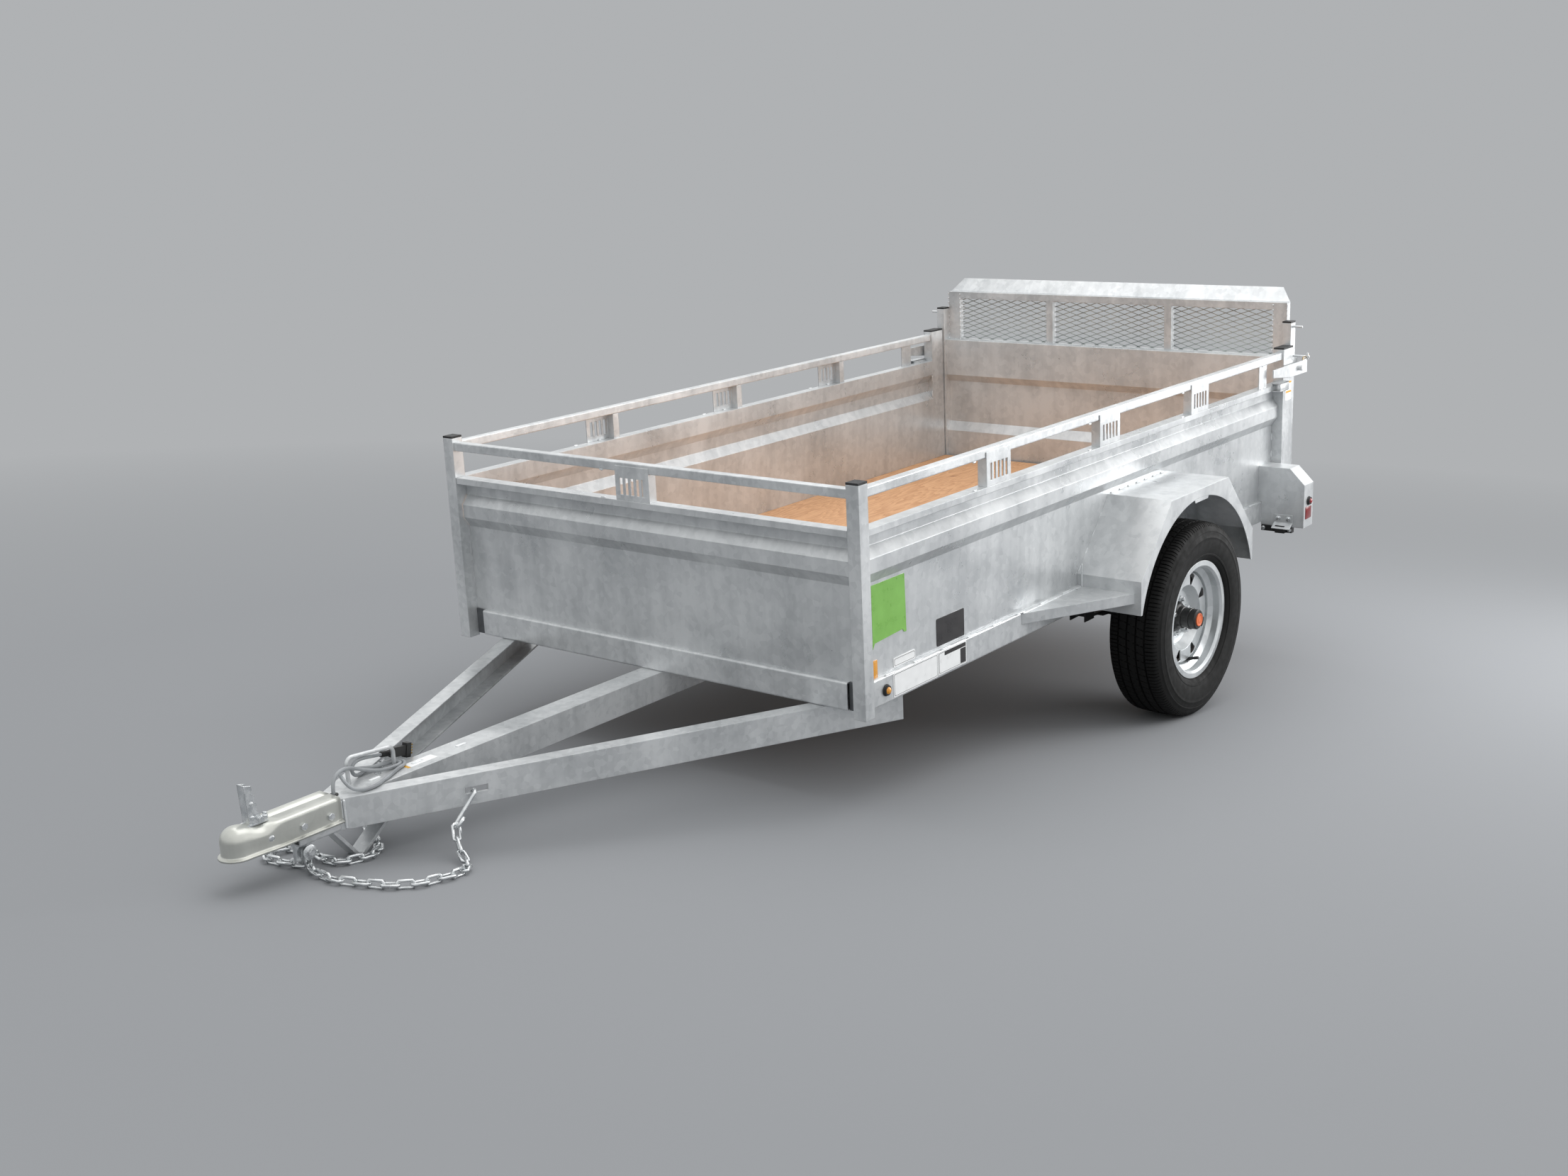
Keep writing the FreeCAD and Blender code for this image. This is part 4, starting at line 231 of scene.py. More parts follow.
PIN_COUNT, PIN_PITCH_MM, PIN_ROOT_MM = 4, 7, 102
PIN_SLEEVE = [(0, 2.1), (11.6, 2.1), (13.2, 0.9)]
RIB_COUNT, RIB_PITCH_MM, RIB_START_MM = 6, 5.4, 3
RIB_RING = [(0, 6), (0.5, 7.4), (2.8, 7.4), (3.3, 6)]
coat(black_pvc, "plug", "grommet")
plug_foot = Vector(CABLE_ROUTE_MM[-1])
plug_run = (plug_foot - Vector(CABLE_ROUTE_MM[-2])).normalized()
plug_up = Vector((0, 1, 0)).rotation_difference(plug_run) @ Vector((0, 0, 1))
pins = bmesh.new()
for k in range(PIN_COUNT):
    off_centre = plug_up * PIN_PITCH_MM * (k - (PIN_COUNT - 1) / 2)
    turned(pins, plug_foot + plug_run * PIN_ROOT_MM + off_centre, plug_run, PIN_SLEEVE, sides=16)
plug_pins = fit("plug_pins", pins, brass)
ribs = bmesh.new()
for k in range(RIB_COUNT):
    rib_foot = plug_foot + plug_run * (RIB_START_MM + RIB_PITCH_MM * k)
    turned(ribs, rib_foot, plug_run, RIB_RING, sides=24)
relief_ribs = fit("relief_ribs", ribs, black_pvc)


# The galvanised frame, walls, posts, rails and tongue: tubes and pressed sheets are welded up and
# dipped in molten zinc, which freezes in faint crystals about a centimetre wide, with paler and
# duller clouds, runs that hang down from the top edges, and small rough pimples. Metal, satin.
CLOUD_MM, PIMPLE_MM, EDGE_MM = 260, 6, 2.2
HANGING_RUNS = (26, 26, 2.4)


def grey(value):
    """A grey of that linear value, for a ramp that is used as a height or a factor."""
    return (value, value, value, 1)


def galvanised(name, dull, bright, rough=0.33, crystal_mm=14.0, metallic=0.52):
    """Zinc on steel: dull and bright are the two ends of its clouds."""
    material, tree, shader, place = new_finish(name, rough, metallic)
    crystals = add(tree, "TexVoronoi", {"Vector": place, "Scale": 1000 / crystal_mm})
    crystal_tone = add(tree, "SeparateXYZ", {"Vector": crystals.outputs["Color"]})
    clouds = add(tree, "TexNoise", {"Vector": place, "Scale": 1000 / CLOUD_MM, "Detail": 5.0,
                                    "Roughness": 0.6})
    hung = add(tree, "Mapping", {"Vector": place, "Scale": HANGING_RUNS})
    runs = add(tree, "TexNoise", {"Vector": hung.outputs[0], "Scale": 1.0, "Detail": 4.0})
    tone = add(tree, "Math", {0: crystal_tone.outputs["X"], 1: 0.16, 2: clouds.outputs["Fac"]},
               operation="MULTIPLY_ADD")
    tone = add(tree, "Math", {0: runs.outputs["Fac"], 1: 0.5, 2: tone.outputs[0]},
               operation="MULTIPLY_ADD")
    colour = add(tree, "ValToRGB", {"Fac": tone.outputs[0]},
                 stops=[(0.55, linear(dull)), (1, linear(bright))])
    gloss = add(tree, "MapRange", {"Value": clouds.outputs["Fac"], "From Min": 0.3, "From Max": 0.7,
                                   "To Min": rough - 0.06, "To Max": rough + 0.1})
    pimples = add(tree, "TexNoise", {"Vector": place, "Scale": 1000 / PIMPLE_MM, "Detail": 3.0})
    height = add(tree, "Math", {0: runs.outputs["Fac"], 1: 1.2, 2: pimples.outputs["Fac"]},
                 operation="MULTIPLY_ADD")
    edge = add(tree, "Bevel", {"Radius": EDGE_MM / 1000}, samples=4)
    bump = add(tree, "Bump", {"Height": height.outputs[0], "Strength": 0.12, "Distance": 0.001,
                              "Normal": edge.outputs[0]})
    for socket, source in (("Base Color", colour), ("Roughness", gloss), ("Normal", bump)):
        tree.links.new(source.outputs[0], shader.inputs[socket])
    return material


zinc_tube = galvanised("galvanised_tube", "#b4b7b9", "#dcdedf")
zinc_sheet = galvanised("galvanised_sheet", "#b8bbbd", "#d9dbdc", rough=0.3, crystal_mm=18.0)
coat(zinc_tube, "front_posts", "rear_posts", "side_beam_left", "side_beam_right", "front_beam",
     "rear_beam", "crossmembers", "top_rail_left", "top_rail_right", "top_rail_front", "stanchions",
     "tongue_channel_left", "tongue_channel_right", "tongue_tube", "tongue_nose", "gate_stiles",
     "gate_sill", "mesh_frame", "gate_lip", "hinge_lugs")
coat(zinc_sheet, "side_panel_left", "side_panel_right", "front_panel", "gate_panel",
     "fender_left", "fender_right", "lamp_box_left", "lamp_box_right")

# Weld beads hold the frame together: each is a ridge of small frozen ripples, dipped with the rest.
# Short stitches show where the walls meet the beams and the posts, and the plates meet the rails.
zinc_weld = galvanised("galvanised_weld", "#c3c7c9", "#eef0f1", rough=0.34, crystal_mm=9.0)
RIPPLE_MM = 3.2
SHORT_BEAD = 14
STANCHION_PLACES = (583, 1202, 1797)
PLATE_WELD = 54
RAIL_LOW, RIM_TOP = 565.6, 487
UPRIGHT_Y, UPRIGHT_X = (2322, 2382), (735, 739.5)
WALL_SKIN, BEAM_EDGE, RIM_EDGE, RAIL_FACE = 713, 728, 742, 742.5
FRONT_POST_BACK, REAR_POST_FRONT = 39.5, 2496.5
THIN, LIGHT, FULL, STOUT, HEAVY = 2.4, 2.6, 3, 3.2, 3.4
STITCH, STITCH_PITCH = 46, 128
STITCHES_START, STITCHES_END = 120, 2440
ARCH_START, ARCH_END = 1060, 1900
WALL_FOOT_X, WALL_FOOT_Z = 726, 84.6
UPRIGHT_SEAMS = ((UPRIGHT_Y[0] + 8, RIM_TOP + 1), (UPRIGHT_Y[1] - 22, RIM_TOP + 1),
                 (UPRIGHT_Y[0] + 20, RAIL_LOW - 1))
POST_SEAMS = ((FRONT_POST_BACK, RAIL_LOW + 24), (2518, RAIL_LOW + 22))
STEP_SEAM_Y, STEP_SEAM_Z, STEP_SEAM = 790, 80.5, 330
POST_STITCHES, POST_STITCH = range(96, 460, 62), 24
SLOPE_STITCHES = [(1132 + step * 42, 120 + step * 45) for step in range(5)]
ARCH_STITCHES, ARCH_TOP = range(1330, 1708, 54), 322.5
ARCH_FOOT_Y, ARCH_FOOT_LOW, ARCH_FOOT_HIGH = 1127, 20, 150
FRONT_PLATE_X = -66
TONGUE_TIP = -1071
TONGUE_SEAMS = (((37, TONGUE_TIP, 5), (37, TONGUE_TIP, -40), STOUT),
                ((40, -1064, 6), (40, -1064, -66), 3.6),
                ((6, TONGUE_TIP, 9), (33, TONGUE_TIP, 9), LIGHT))
TONGUE_STITCHES = (-958, -828, -688)


def bead(shape, start, end, radius):
    """A weld bead in mm: rings whose radius swells once for each ripple, with closed ends."""
    start, end = Vector(start), Vector(end)
    run = (end - start).length
    steps = max(int(run / RIPPLE_MM * 3), 6)
    rings = []
    for k in range(steps + 1):
        if steps < SHORT_BEAD:
            taper = math.sin(math.pi * min(k + 0.6, steps - k + 0.6) / steps) ** 0.25
        else:
            taper = min(1, 0.35 + min(k, steps - k) / 3.5)
        swell = 0.82 + 0.18 * abs(math.sin(math.pi * k / 3 + 0.4)) + random.uniform(-0.05, 0.05)
        rings.append((run * k / steps, radius * taper * swell))
    turned(shape, start, end - start, rings, sides=8)


random.seed(11)
welds = bmesh.new()


def rearward(x, y, z, run, radius):
    """A bead of the frame that runs to the rear from that place."""
    bead(welds, (x, y, z), (x, y + run, z), radius)


for side in (1, -1):
    for middle in STANCHION_PLACES:
        for end in (-1, 1):
            y = middle + end * PLATE_WELD
            rearward(RAIL_FACE * side, y - 7, RAIL_LOW - 1, 14, STOUT)
            rearward(RIM_EDGE * side, y - 8, RIM_TOP + 1, 16, HEAVY)
    for y in range(STITCHES_START, STITCHES_END, STITCH_PITCH):
        if not ARCH_START < y < ARCH_END:
            rearward(WALL_FOOT_X * side, y, WALL_FOOT_Z, STITCH, LIGHT)
    for y, z in UPRIGHT_SEAMS:
        rearward(740 * side, y, z, 14, FULL)
    for y, z in POST_SEAMS:
        bead(welds, (718 * side, y, z), (RIM_EDGE * side, y, z), LIGHT)
    rearward(BEAM_EDGE * side, STEP_SEAM_Y, STEP_SEAM_Z, STEP_SEAM, FULL)
    wall, beam = WALL_SKIN * side, BEAM_EDGE * side
    for low in POST_STITCHES:
        for y in (FRONT_POST_BACK, REAR_POST_FRONT):
            bead(welds, (wall, y, low), (wall, y, low + POST_STITCH), LIGHT)
    for y, z in SLOPE_STITCHES:
        bead(welds, (wall, y, z), (wall, y + 17, z + 18), THIN)
    for y in ARCH_STITCHES:
        rearward(wall, y, ARCH_TOP, 22, THIN)
    bead(welds, (beam, ARCH_FOOT_Y, ARCH_FOOT_HIGH), (beam, ARCH_FOOT_Y, ARCH_FOOT_LOW), FULL)
for x in (FRONT_PLATE_X - PLATE_WELD, FRONT_PLATE_X + PLATE_WELD):
    bead(welds, (x - 7, 8.5, RAIL_LOW - 1), (x + 7, 8.5, RAIL_LOW - 1), STOUT)
    bead(welds, (x - 8, 8, RIM_TOP + 1), (x + 8, 8, RIM_TOP + 1), HEAVY)
for side in (1, -1):
    for (x0, *start), (x1, *end), radius in TONGUE_SEAMS:
        bead(welds, (x0 * side, *start), (x1 * side, *end), radius)
    for y in TONGUE_STITCHES:
        rearward(2.5 * side, y, 8, 34, THIN)
fit("weld_beads", welds, zinc_weld, sharp=60)


# Ahead of each rear post a flat bar of 60 by 4.5 mm steel stands on the wall's rim and carries the
# top rail. It is welded at both ends and dipped with the frame.
def plate(shape, outline, low, high, face="yz"):
    """A flat plate in mm with that outline, between two places along its third direction."""
    spots = {"yz": lambda a, b, c: (c, a, b), "xy": lambda a, b, c: (a, b, c)}
    rings = []
    for end in (low, high):
        rings.append([shape.verts.new(level_mm(*spots[face](a, b, end))) for a, b in outline])
    skin(shape, rings)


uprights = bmesh.new()
for side in (1, -1):
    plate(uprights, ((UPRIGHT_Y[0], RIM_TOP - 1), (UPRIGHT_Y[1], RIM_TOP - 1),
                     (UPRIGHT_Y[1], RAIL_LOW + 2), (UPRIGHT_Y[0], RAIL_LOW + 2)),
          UPRIGHT_X[0] * side, UPRIGHT_X[1] * side)
fit("rear_uprights", uprights, zinc_tube)


# Black plastic caps close the posts and the stiles, and dark grey ones the ends of the side beams.
# They are moulded with a fine matt grain and sit on the tube with a thin shadow line.
post_plastic = speckled("moulded_black_cap", "#1c1c1d", "#2a2a2b", 0.55, grain_mm=1.2,
                        depth_mm=0.06)
grey_plastic = speckled("moulded_grey_plug", "#4a4c4f", "#5c5f62", 0.5, grain_mm=1.5, depth_mm=0.06)
coat(post_plastic, "post_caps", "gate_caps")
coat(grey_plastic, "beam_plugs")


# The floor is two sheets of construction plywood, 12 mm thick: softwood plies, peeled from the log,
# so its grain runs in long flames along the bed with dark rings, and knots about 20 mm across.
def plywood(name, pale, dark, knot):
    """Growth rings drawn out along the bed, fine fibres over them, and a few round knots."""
    material, tree, shader, place = new_finish(name, 0.62)
    long_way = add(tree, "Mapping", {"Vector": place, "Scale": (9.0, 0.7, 9.0)})
    sway = add(tree, "TexNoise", {"Vector": long_way.outputs[0], "Scale": 1.0, "Detail": 3.0})
    rings = add(tree, "Math", {0: sway.outputs["Fac"], 1: 22.0}, operation="MULTIPLY")
    rings = add(tree, "Math", {0: rings.outputs[0]}, operation="FRACT")
    fibre_place = add(tree, "Mapping", {"Vector": place, "Scale": (420.0, 9.0, 420.0)})
    fibre = add(tree, "TexNoise", {"Vector": fibre_place.outputs[0], "Scale": 1.0, "Detail": 3.0})
    grain = add(tree, "Math", {0: rings.outputs[0], 1: 0.55, 2: fibre.outputs["Fac"]},
                operation="MULTIPLY_ADD")
    wood = add(tree, "ValToRGB", {"Fac": grain.outputs[0]},
               stops=[(0.35, linear(dark)), (0.95, linear(pale))])
    knot_place = add(tree, "Mapping", {"Vector": place, "Scale": (4.2, 2.6, 4.2)})
    knots = add(tree, "TexVoronoi", {"Vector": knot_place.outputs[0], "Scale": 1.0})
    spot = add(tree, "ValToRGB", {"Fac": knots.outputs["Distance"]},
               stops=[(0.05, grey(1)), (0.085, grey(0))])
    colour = add(tree, "Mix", {0: spot.outputs["Color"], 6: wood.outputs["Color"], 7: linear(knot)},
                 data_type="RGBA")
    bump = add(tree, "Bump", {"Height": grain.outputs[0], "Strength": 0.3, "Distance": 0.0004})
    tree.links.new(colour.outputs[2], shader.inputs["Base Color"])
    tree.links.new(bump.outputs[0], shader.inputs["Normal"])
    return material


coat(plywood("softwood_plywood", "#cfa077", "#b07f57", "#7c4f32"), "floor")


# The gate's upper half is a frame of square tube with expanded metal behind it: sheet steel that is
# slit and drawn into diamonds of 58 by 20 mm, so each strand is a flat twisted ribbon 3 mm wide.
MESH_HALF_X, MESH_LOW, MESH_HIGH = 698, 545, 740
DIAMOND_WIDE, DIAMOND_HIGH = 58, 19.5
STRAND_WIDE, STRAND_THICK, STRAND_LAP, STRAND_TILT = 2.9, 1.7, 1.2, 0.55
MESH_Y = 2644.1
MESH_WELDS = 11
MESH_SEAMS = ((654, 2617, 0, 7, FULL), (706.5, 2616.5, 3, 9, THIN))


def strand(shape, start, end):
    """One flat strand between two bonds, tilted as the slitting leaves it."""
    start, end = Vector(start), Vector(end)
    along = (end - start).normalized()
    face = Vector((along.y, -along.x))
    rings = []
    for place in (start - along * STRAND_LAP, end + along * STRAND_LAP):
        ring = []
        for wide, deep in ((-1, -1), (1, -1), (1, 1), (-1, 1)):
            point = place + face * wide * STRAND_WIDE / 2
            depth = deep * STRAND_THICK / 2 + wide * STRAND_TILT
            ring.append(shape.verts.new(level_mm(point.x, MESH_Y + depth, point.y)))
        rings.append(ring)
    skin(shape, rings)


expanded = bmesh.new()
columns = int(MESH_HALF_X * 2 / DIAMOND_WIDE)
rows = int((MESH_HIGH - MESH_LOW) / DIAMOND_HIGH * 2)
first_x = -MESH_HALF_X + (MESH_HALF_X * 2 - columns * DIAMOND_WIDE) / 2
for row in range(rows):
    for column in range(columns * 2):
        x = first_x + column * DIAMOND_WIDE / 2
        low = MESH_LOW + row * DIAMOND_HIGH / 2
        rises = (row + column) % 2 == 0
        start = (x, low if rises else low + DIAMOND_HIGH / 2)
        end = (x + DIAMOND_WIDE / 2, low + DIAMOND_HIGH / 2 if rises else low)
        strand(expanded, start, end)
dull_zinc = galvanised("galvanised_expanded_mesh", "#8f9694", "#b9bfbc", rough=0.45, crystal_mm=9.0,
                       metallic=0.5)
expanded_mesh = fit("expanded_mesh", expanded, dull_zinc, body="gate")
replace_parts(expanded_mesh, "gate_mesh")
mesh_welds = bmesh.new()
for side in (1, -1):
    for step in range(MESH_WELDS):
        z = MESH_LOW + 14 + step * DIAMOND_HIGH * 0.9
        for x, y, low, high, radius in MESH_SEAMS:
            bead(mesh_welds, (x * side, y, z + low), (x * side, y, z + high), radius)
fit("mesh_welds", mesh_welds, zinc_weld, body="gate", sharp=60)


# Each tyre is a radial trailer tyre on a 13 inch rim: black rubber with a dull bloom, a side wall
# with fine moulded rings, and a tread of five ribs with slots cut across them every 12 mm or so. A
# point of the profile is (across, radius), and in the tread the depth of its slots, all in mm.
black_rubber = speckled("tyre_rubber", "#060606", "#0e0e0d", 0.72, grain_mm=1.6, depth_mm=0.12)
black_rubber.node_tree.nodes["Principled BSDF"].inputs["Specular IOR Level"].default_value = 0.28
WHEEL_X, WHEEL_Y, WHEEL_Z = 849.5, 1507, -92
SIDE_WALL = ((58, 166.3), (66.9, 170.4), (67.5, 184.4), (72.5, 188), (77.5, 194), (80.5, 200),
             (82.8, 201.4), (84, 206), (83.4, 207.4), (85.2, 213), (87, 224), (88.2, 238),
             (88.5, 247), (88.2, 254), (88.7, 255.2), (88.5, 257.4), (87.7, 258.6), (86.3, 267),
             (84.6, 273.5), (85, 275), (84.2, 278), (82.9, 279.4), (80.5, 285), (78.2, 289.5))
TREAD = ((76, 293.2, 3), (73.4, 296.8, 3), (70, 299.8, 4), (65.5, 301.9, 6), (58, 302.9, 6),
         (50, 303.5, 6), (46.2, 303.8, 6), (45.4, 296.5, 0), (40.6, 296.5, 0), (39.8, 304.1, 5),
         (33, 304.4, 5), (28, 304.5, 0), (22, 304.6, 5), (17.8, 304.7, 5), (17, 297.2, 0),
         (12.2, 297.2, 0), (11.4, 304.9, 4), (7, 305, 4), (4, 305, 0), (0, 305, 0))
PITCHES = 76
SLOT_COLUMNS = ((0, False), (0.02, True), (0.13, True), (0.15, False), (0.48, False), (0.5, True),
                (0.58, True), (0.6, False))
SHOULDER, SECOND_SLOT, SLOT_SLANT = 42, 4, 0.012


def tyre_shape(side):
    """The profile turned round the wheel, slotted where a column and a tread row both are."""
    half = [(across, radius, 0) for across, radius in SIDE_WALL] + list(TREAD)
    profile = half + [(-across, radius, slot) for across, radius, slot in reversed(half[:-1])]
    shape = bmesh.new()
    loops = []
    for across, radius, slot in profile:
        loop = []
        shoulder = abs(across) > SHOULDER
        for pitch in range(PITCHES):
            for number, (share, cut) in enumerate(SLOT_COLUMNS):
                deep = slot if cut and (shoulder or number < SECOND_SLOT) else 0
                slant = 0.0 if shoulder else across * SLOT_SLANT
                angle = math.tau * (pitch + share + slant) / PITCHES
                reach = radius - deep
                loop.append(shape.verts.new(level_mm(
                    WHEEL_X * side + across, WHEEL_Y + reach * math.cos(angle),
                    WHEEL_Z + reach * math.sin(angle))))
        loops.append(loop)
    skin(shape, loops, ends=False)
    return shape


for side_name, side in (("left", 1), ("right", -1)):
    tyre = fit(f"trailer_tyre_{side_name}", tyre_shape(side), black_rubber,
               body=f"wheel_{side_name}", sharp=28)
    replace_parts(tyre, f"tyre_{side_name}")


# The rims are pressed and rolled steel with bright zinc, the hubs black cast iron with a long
# grease cap, five bright nuts and an orange rubber plug that is pulled out to grease the bearing.
bright_zinc = galvanised("bright_zinc_rim", "#b4b8ba", "#dcdfe0", rough=0.33, crystal_mm=24.0,
                         metallic=0.8)
hub_paint = speckled("hub_black_enamel", "#141414", "#242423", 0.4, grain_mm=3.0, depth_mm=0.15)
orange_rubber = speckled("orange_rubber_plug", "#c9582c", "#e07442", 0.5, grain_mm=1.5,
                         depth_mm=0.05)
zinc_plate = speckled("zinc_plated_steel", "#c3c7c9", "#e9ebec", 0.24, grain_mm=1.2, depth_mm=0.015,
                      metallic=0.85)

# Behind the disc a rim is the same zinc, painted dark there as painted shade, so its windows look
# dark from outside.
# The painted shade starts between these two distances from the trailer's middle, in metres.
DISC_UNSHADED, DISC_SHADED = 0.8442, 0.843
rim_tree = bright_zinc.node_tree
rim_shader = rim_tree.nodes["Principled BSDF"]
rim_side = add(rim_tree, "SeparateXYZ", {"Vector": add(rim_tree, "TexCoord").outputs["Object"]})
from_middle = add(rim_tree, "Math", {0: rim_side.outputs["X"]}, operation="ABSOLUTE")
behind_disc = add(rim_tree, "MapRange", {"Value": from_middle.outputs[0], "From Min": DISC_UNSHADED,
                                         "From Max": DISC_SHADED})
unshaded_colour = rim_shader.inputs["Base Color"].links[0].from_socket
# Painted shade: the barrel behind the disc is mixed to a dark grey in place of the shade inside the
# wheel.
painted_shade_mix = add(rim_tree, "Mix", {0: behind_disc.outputs[0], 6: unshaded_colour, 7: linear("#2c2b29")},
            data_type="RGBA")
rim_tree.links.new(painted_shade_mix.outputs[2], rim_shader.inputs["Base Color"])
coat(bright_zinc, "rim_left", "rim_right")
coat(hub_paint, "hub_left", "hub_right")
HEX = math.tau / 12
NUT_COUNT, NUT_CIRCLE, NUT_TURN = 5, 57.15, 0.2
NUT_SEAT = [(-1, 12.5), (2.5, 11.6), (5, 9.8)]
NUT_BODY = [(4.5, 11), (14.5, 11), (16.5, 9.2)]
STUD_END = [(16, 6.3), (23.5, 6.3), (24.5, 5.3)]
HUB_STEPS = [(-2.5, 47), (4, 45.5), (9, 40), (12, 36), (24, 34.2), (25, 33),
             (25.6, 31.2)]
CAP_BAND = [(44, 31.2), (45, 33.4), (50.5, 33.4), (51.5, 31.2)]
PLUG_FACE = [(72, 20.5), (75.2, 20.5), (76.4, 19.4), (76.8, 17.5), (76, 15.6), (75.2, 14.6),
             (75.2, 9), (76.3, 8.2), (76.3, 0.4)]
VALVE_CIRCLE, VALVE_TURN, VALVE_LEAN = 146, math.radians(-78), 0.28
VALVE_STEM = [(-6, 8), (2, 7.6), (7, 5.6), (24, 4.6), (25, 5.4), (38, 5.2), (39.5, 4.2)]


def hex_bolt(shape, place, ahead, across_flats=13.0, tall=6.0, washer=0.0):
    """A hexagon head, its chamfer and a washer, standing on a face at that place."""
    radius = across_flats / math.sqrt(3)
    base = 0
    if washer:
        turned(shape, place, ahead, [(0, washer), (1.6, washer), (2, washer - 0.6)], sides=28)
        base = 2
    rings = [(base, radius), (base + tall - 1.4, radius), (base + tall, radius * 0.84)]
    turned(shape, place, ahead, rings, sides=6, turn=HEX)


for side_name, side in (("left", 1), ("right", -1)):
    nuts, plug, ring, stem = bmesh.new(), bmesh.new(), bmesh.new(), bmesh.new()
    outward = (side, 0, 0)
    for k in range(NUT_COUNT):
        angle = math.tau * (k + NUT_TURN) / NUT_COUNT
        spot = (side * (WHEEL_X - 2), WHEEL_Y + NUT_CIRCLE * math.cos(angle),
                WHEEL_Z + NUT_CIRCLE * math.sin(angle))
        turned(nuts, spot, outward, NUT_SEAT, sides=24)
        turned(nuts, spot, outward, NUT_BODY, sides=6, turn=HEX)
        turned(nuts, spot, outward, STUD_END, sides=20)
    fit(f"wheel_nuts_{side_name}", nuts, zinc_plate, body=f"wheel_{side_name}")
    middle = (side * WHEEL_X, WHEEL_Y, WHEEL_Z)
    turned(ring, middle, outward, HUB_STEPS, sides=64)
    turned(ring, middle, outward, CAP_BAND, sides=64)
    fit(f"hub_collar_{side_name}", ring, hub_paint, body=f"wheel_{side_name}")
    turned(plug, middle, outward, PLUG_FACE, sides=48)
    fit(f"grease_plug_{side_name}", plug, orange_rubber, body=f"wheel_{side_name}")
    back, up = math.cos(VALVE_TURN), math.sin(VALVE_TURN)
    foot = (side * (WHEEL_X + 22), WHEEL_Y + VALVE_CIRCLE * back, WHEEL_Z + VALVE_CIRCLE * up)
    turned(stem, foot, (side, -VALVE_LEAN * back, -VALVE_LEAN * up), VALVE_STEM, sides=20)
    fit(f"valve_stem_{side_name}", stem, post_plastic, body=f"wheel_{side_name}")


# The axle, leaf springs, their hangers and clamps and the bracket of the number plate are black
# enamelled steel, dull with road dust. The foot under the tongue is a bare zinc-dipped bar.
black_enamel = speckled("chassis_black_enamel", "#171718", "#262626", 0.45, grain_mm=4.0,
                        depth_mm=0.2)
coat(black_enamel, "axle", "spring_left", "spring_right", "spring_hangers", "spring_clamps",
     "plate_bracket")
coat(zinc_tube, "foot")


# The coupler is a pressed steel hood, 3.3 mm thick and passivated to a warm pale champagne. Its
# nose is a dome over the tow ball, its neck dips behind that and widens to the flat top over the
# tongue, and its lower edge is folded outward. Two bolts and a rivet on each side hold it on.
champagne_zinc = galvanised("champagne_zinc", "#b9bab4", "#d2d3cd", rough=0.34, crystal_mm=60.0,
                            metallic=0.75)
DOME_Y, DOME_Z, DOME_RADIUS = -1330, -8.5, 31.8
DOME_STEPS, ARCH_STEPS = 12, 14
HOOD_REAR, HOOD_LOW, HOOD_HALF, HOOD_SKIN = -1073, -44.5, 38.1, 0.0033
RIVET_Y, RIVET_Z, HOOD_BOLTS, DIMPLES = -1264, -18, ((-1180, -19), (-1105, -21)), (-1214, -1132)
BRIM_PROFILE = ((8, -0.6), (8, 1), (3.6, 2.6), (1, 4), (0, 8))
BULGE_Y, BULGE_HALF, BULGE_OUT = DIMPLES[0], 26, 2
RIVET = [(0, 8.2), (1.4, 8.2), (3, 6.4), (3.6, 3)]
DIMPLE = [(0, 7), (1, 6.6), (1.3, 5.4), (0.9, 4.4)]
NECK = ((-1330, 31.8, 31.8, 2), (-1316, 32, 30, 1.95), (-1302, 32.8, 26, 1.75),
        (-1288, 34, 23, 1.6), (-1276, 35.4, 21.6, 1.6), (-1264, 36.8, 20.6, 2.2),
        (-1252, 37.8, 20.4, 4.5), (-1242, 38.1, 20.5, 9), (-1225, 38.1, 20.5, 13),
        (HOOD_REAR, 38.1, 20.5, 14))
STATIONS = (HOOD_REAR, -1090, -1115, -1140, -1165, -1190, -1215, -1230, -1240, -1250, -1260, -1268,
            -1276, -1284, -1292, -1300, -1308, -1316, -1323)


def neck_at(y):
    """Half width, rise above the ball's centre and squareness of the hood at that place."""
    for (y0, *first), (y1, *last) in zip(NECK, NECK[1:]):
        if y <= y1:
            share = (y - y0) / (y1 - y0)
            share = share * share * (3 - 2 * share)
            return [a + (b - a) * share for a, b in zip(first, last)]
    return NECK[-1][1:]


plan = []
for y in STATIONS:
    half, rise, square = neck_at(y)
    plan.append((half, y, y, rise, square, (1, 0)))
for k in range(DOME_STEPS + 1):
    angle = math.pi * k / DOME_STEPS
    plan.append((DOME_RADIUS * math.cos(angle), DOME_Y - DOME_RADIUS * math.sin(angle), DOME_Y,
                 DOME_RADIUS, 2, (math.cos(angle), -math.sin(angle))))
for half, y, spine, rise, square, _ in reversed(plan[:len(STATIONS)]):
    plan.append((-half, y, spine, rise, square, (-1, 0)))
hood = bmesh.new()
columns = []
for x, y, spine, rise, square, (out_x, out_y) in plan:
    column = [(x + out_x * out, y + out_y * out, HOOD_LOW + lift) for out, lift in BRIM_PROFILE]
    column.append((x, y, DOME_Z - 12))
    if y > DOME_Y and square > 6:
        bulge = math.exp(-((y - BULGE_Y) / BULGE_HALF) ** 2) * BULGE_OUT
        column[4] = (x + out_x * bulge, y, HOOD_LOW + 9)
    for step in range(ARCH_STEPS + 1):
        turn = math.asin(math.sin(math.pi / 2 * step / ARCH_STEPS))
        inward = 1 - math.cos(turn) ** (2 / square)
        column.append((x * (1 - inward), y + (spine - y) * inward,
                       DOME_Z + rise * math.sin(turn) ** (2 / square)))
    columns.append([hood.verts.new(level_mm(*point)) for point in column])
for first, last in zip(columns, columns[1:]):
    for k in range(len(first) - 1):
        hood.faces.new((first[k], last[k], last[k + 1], first[k + 1]))
bmesh.ops.remove_doubles(hood, verts=hood.verts, dist=0.0001)
coupler_hood = fit("coupler_hood", hood, champagne_zinc, sharp=50)
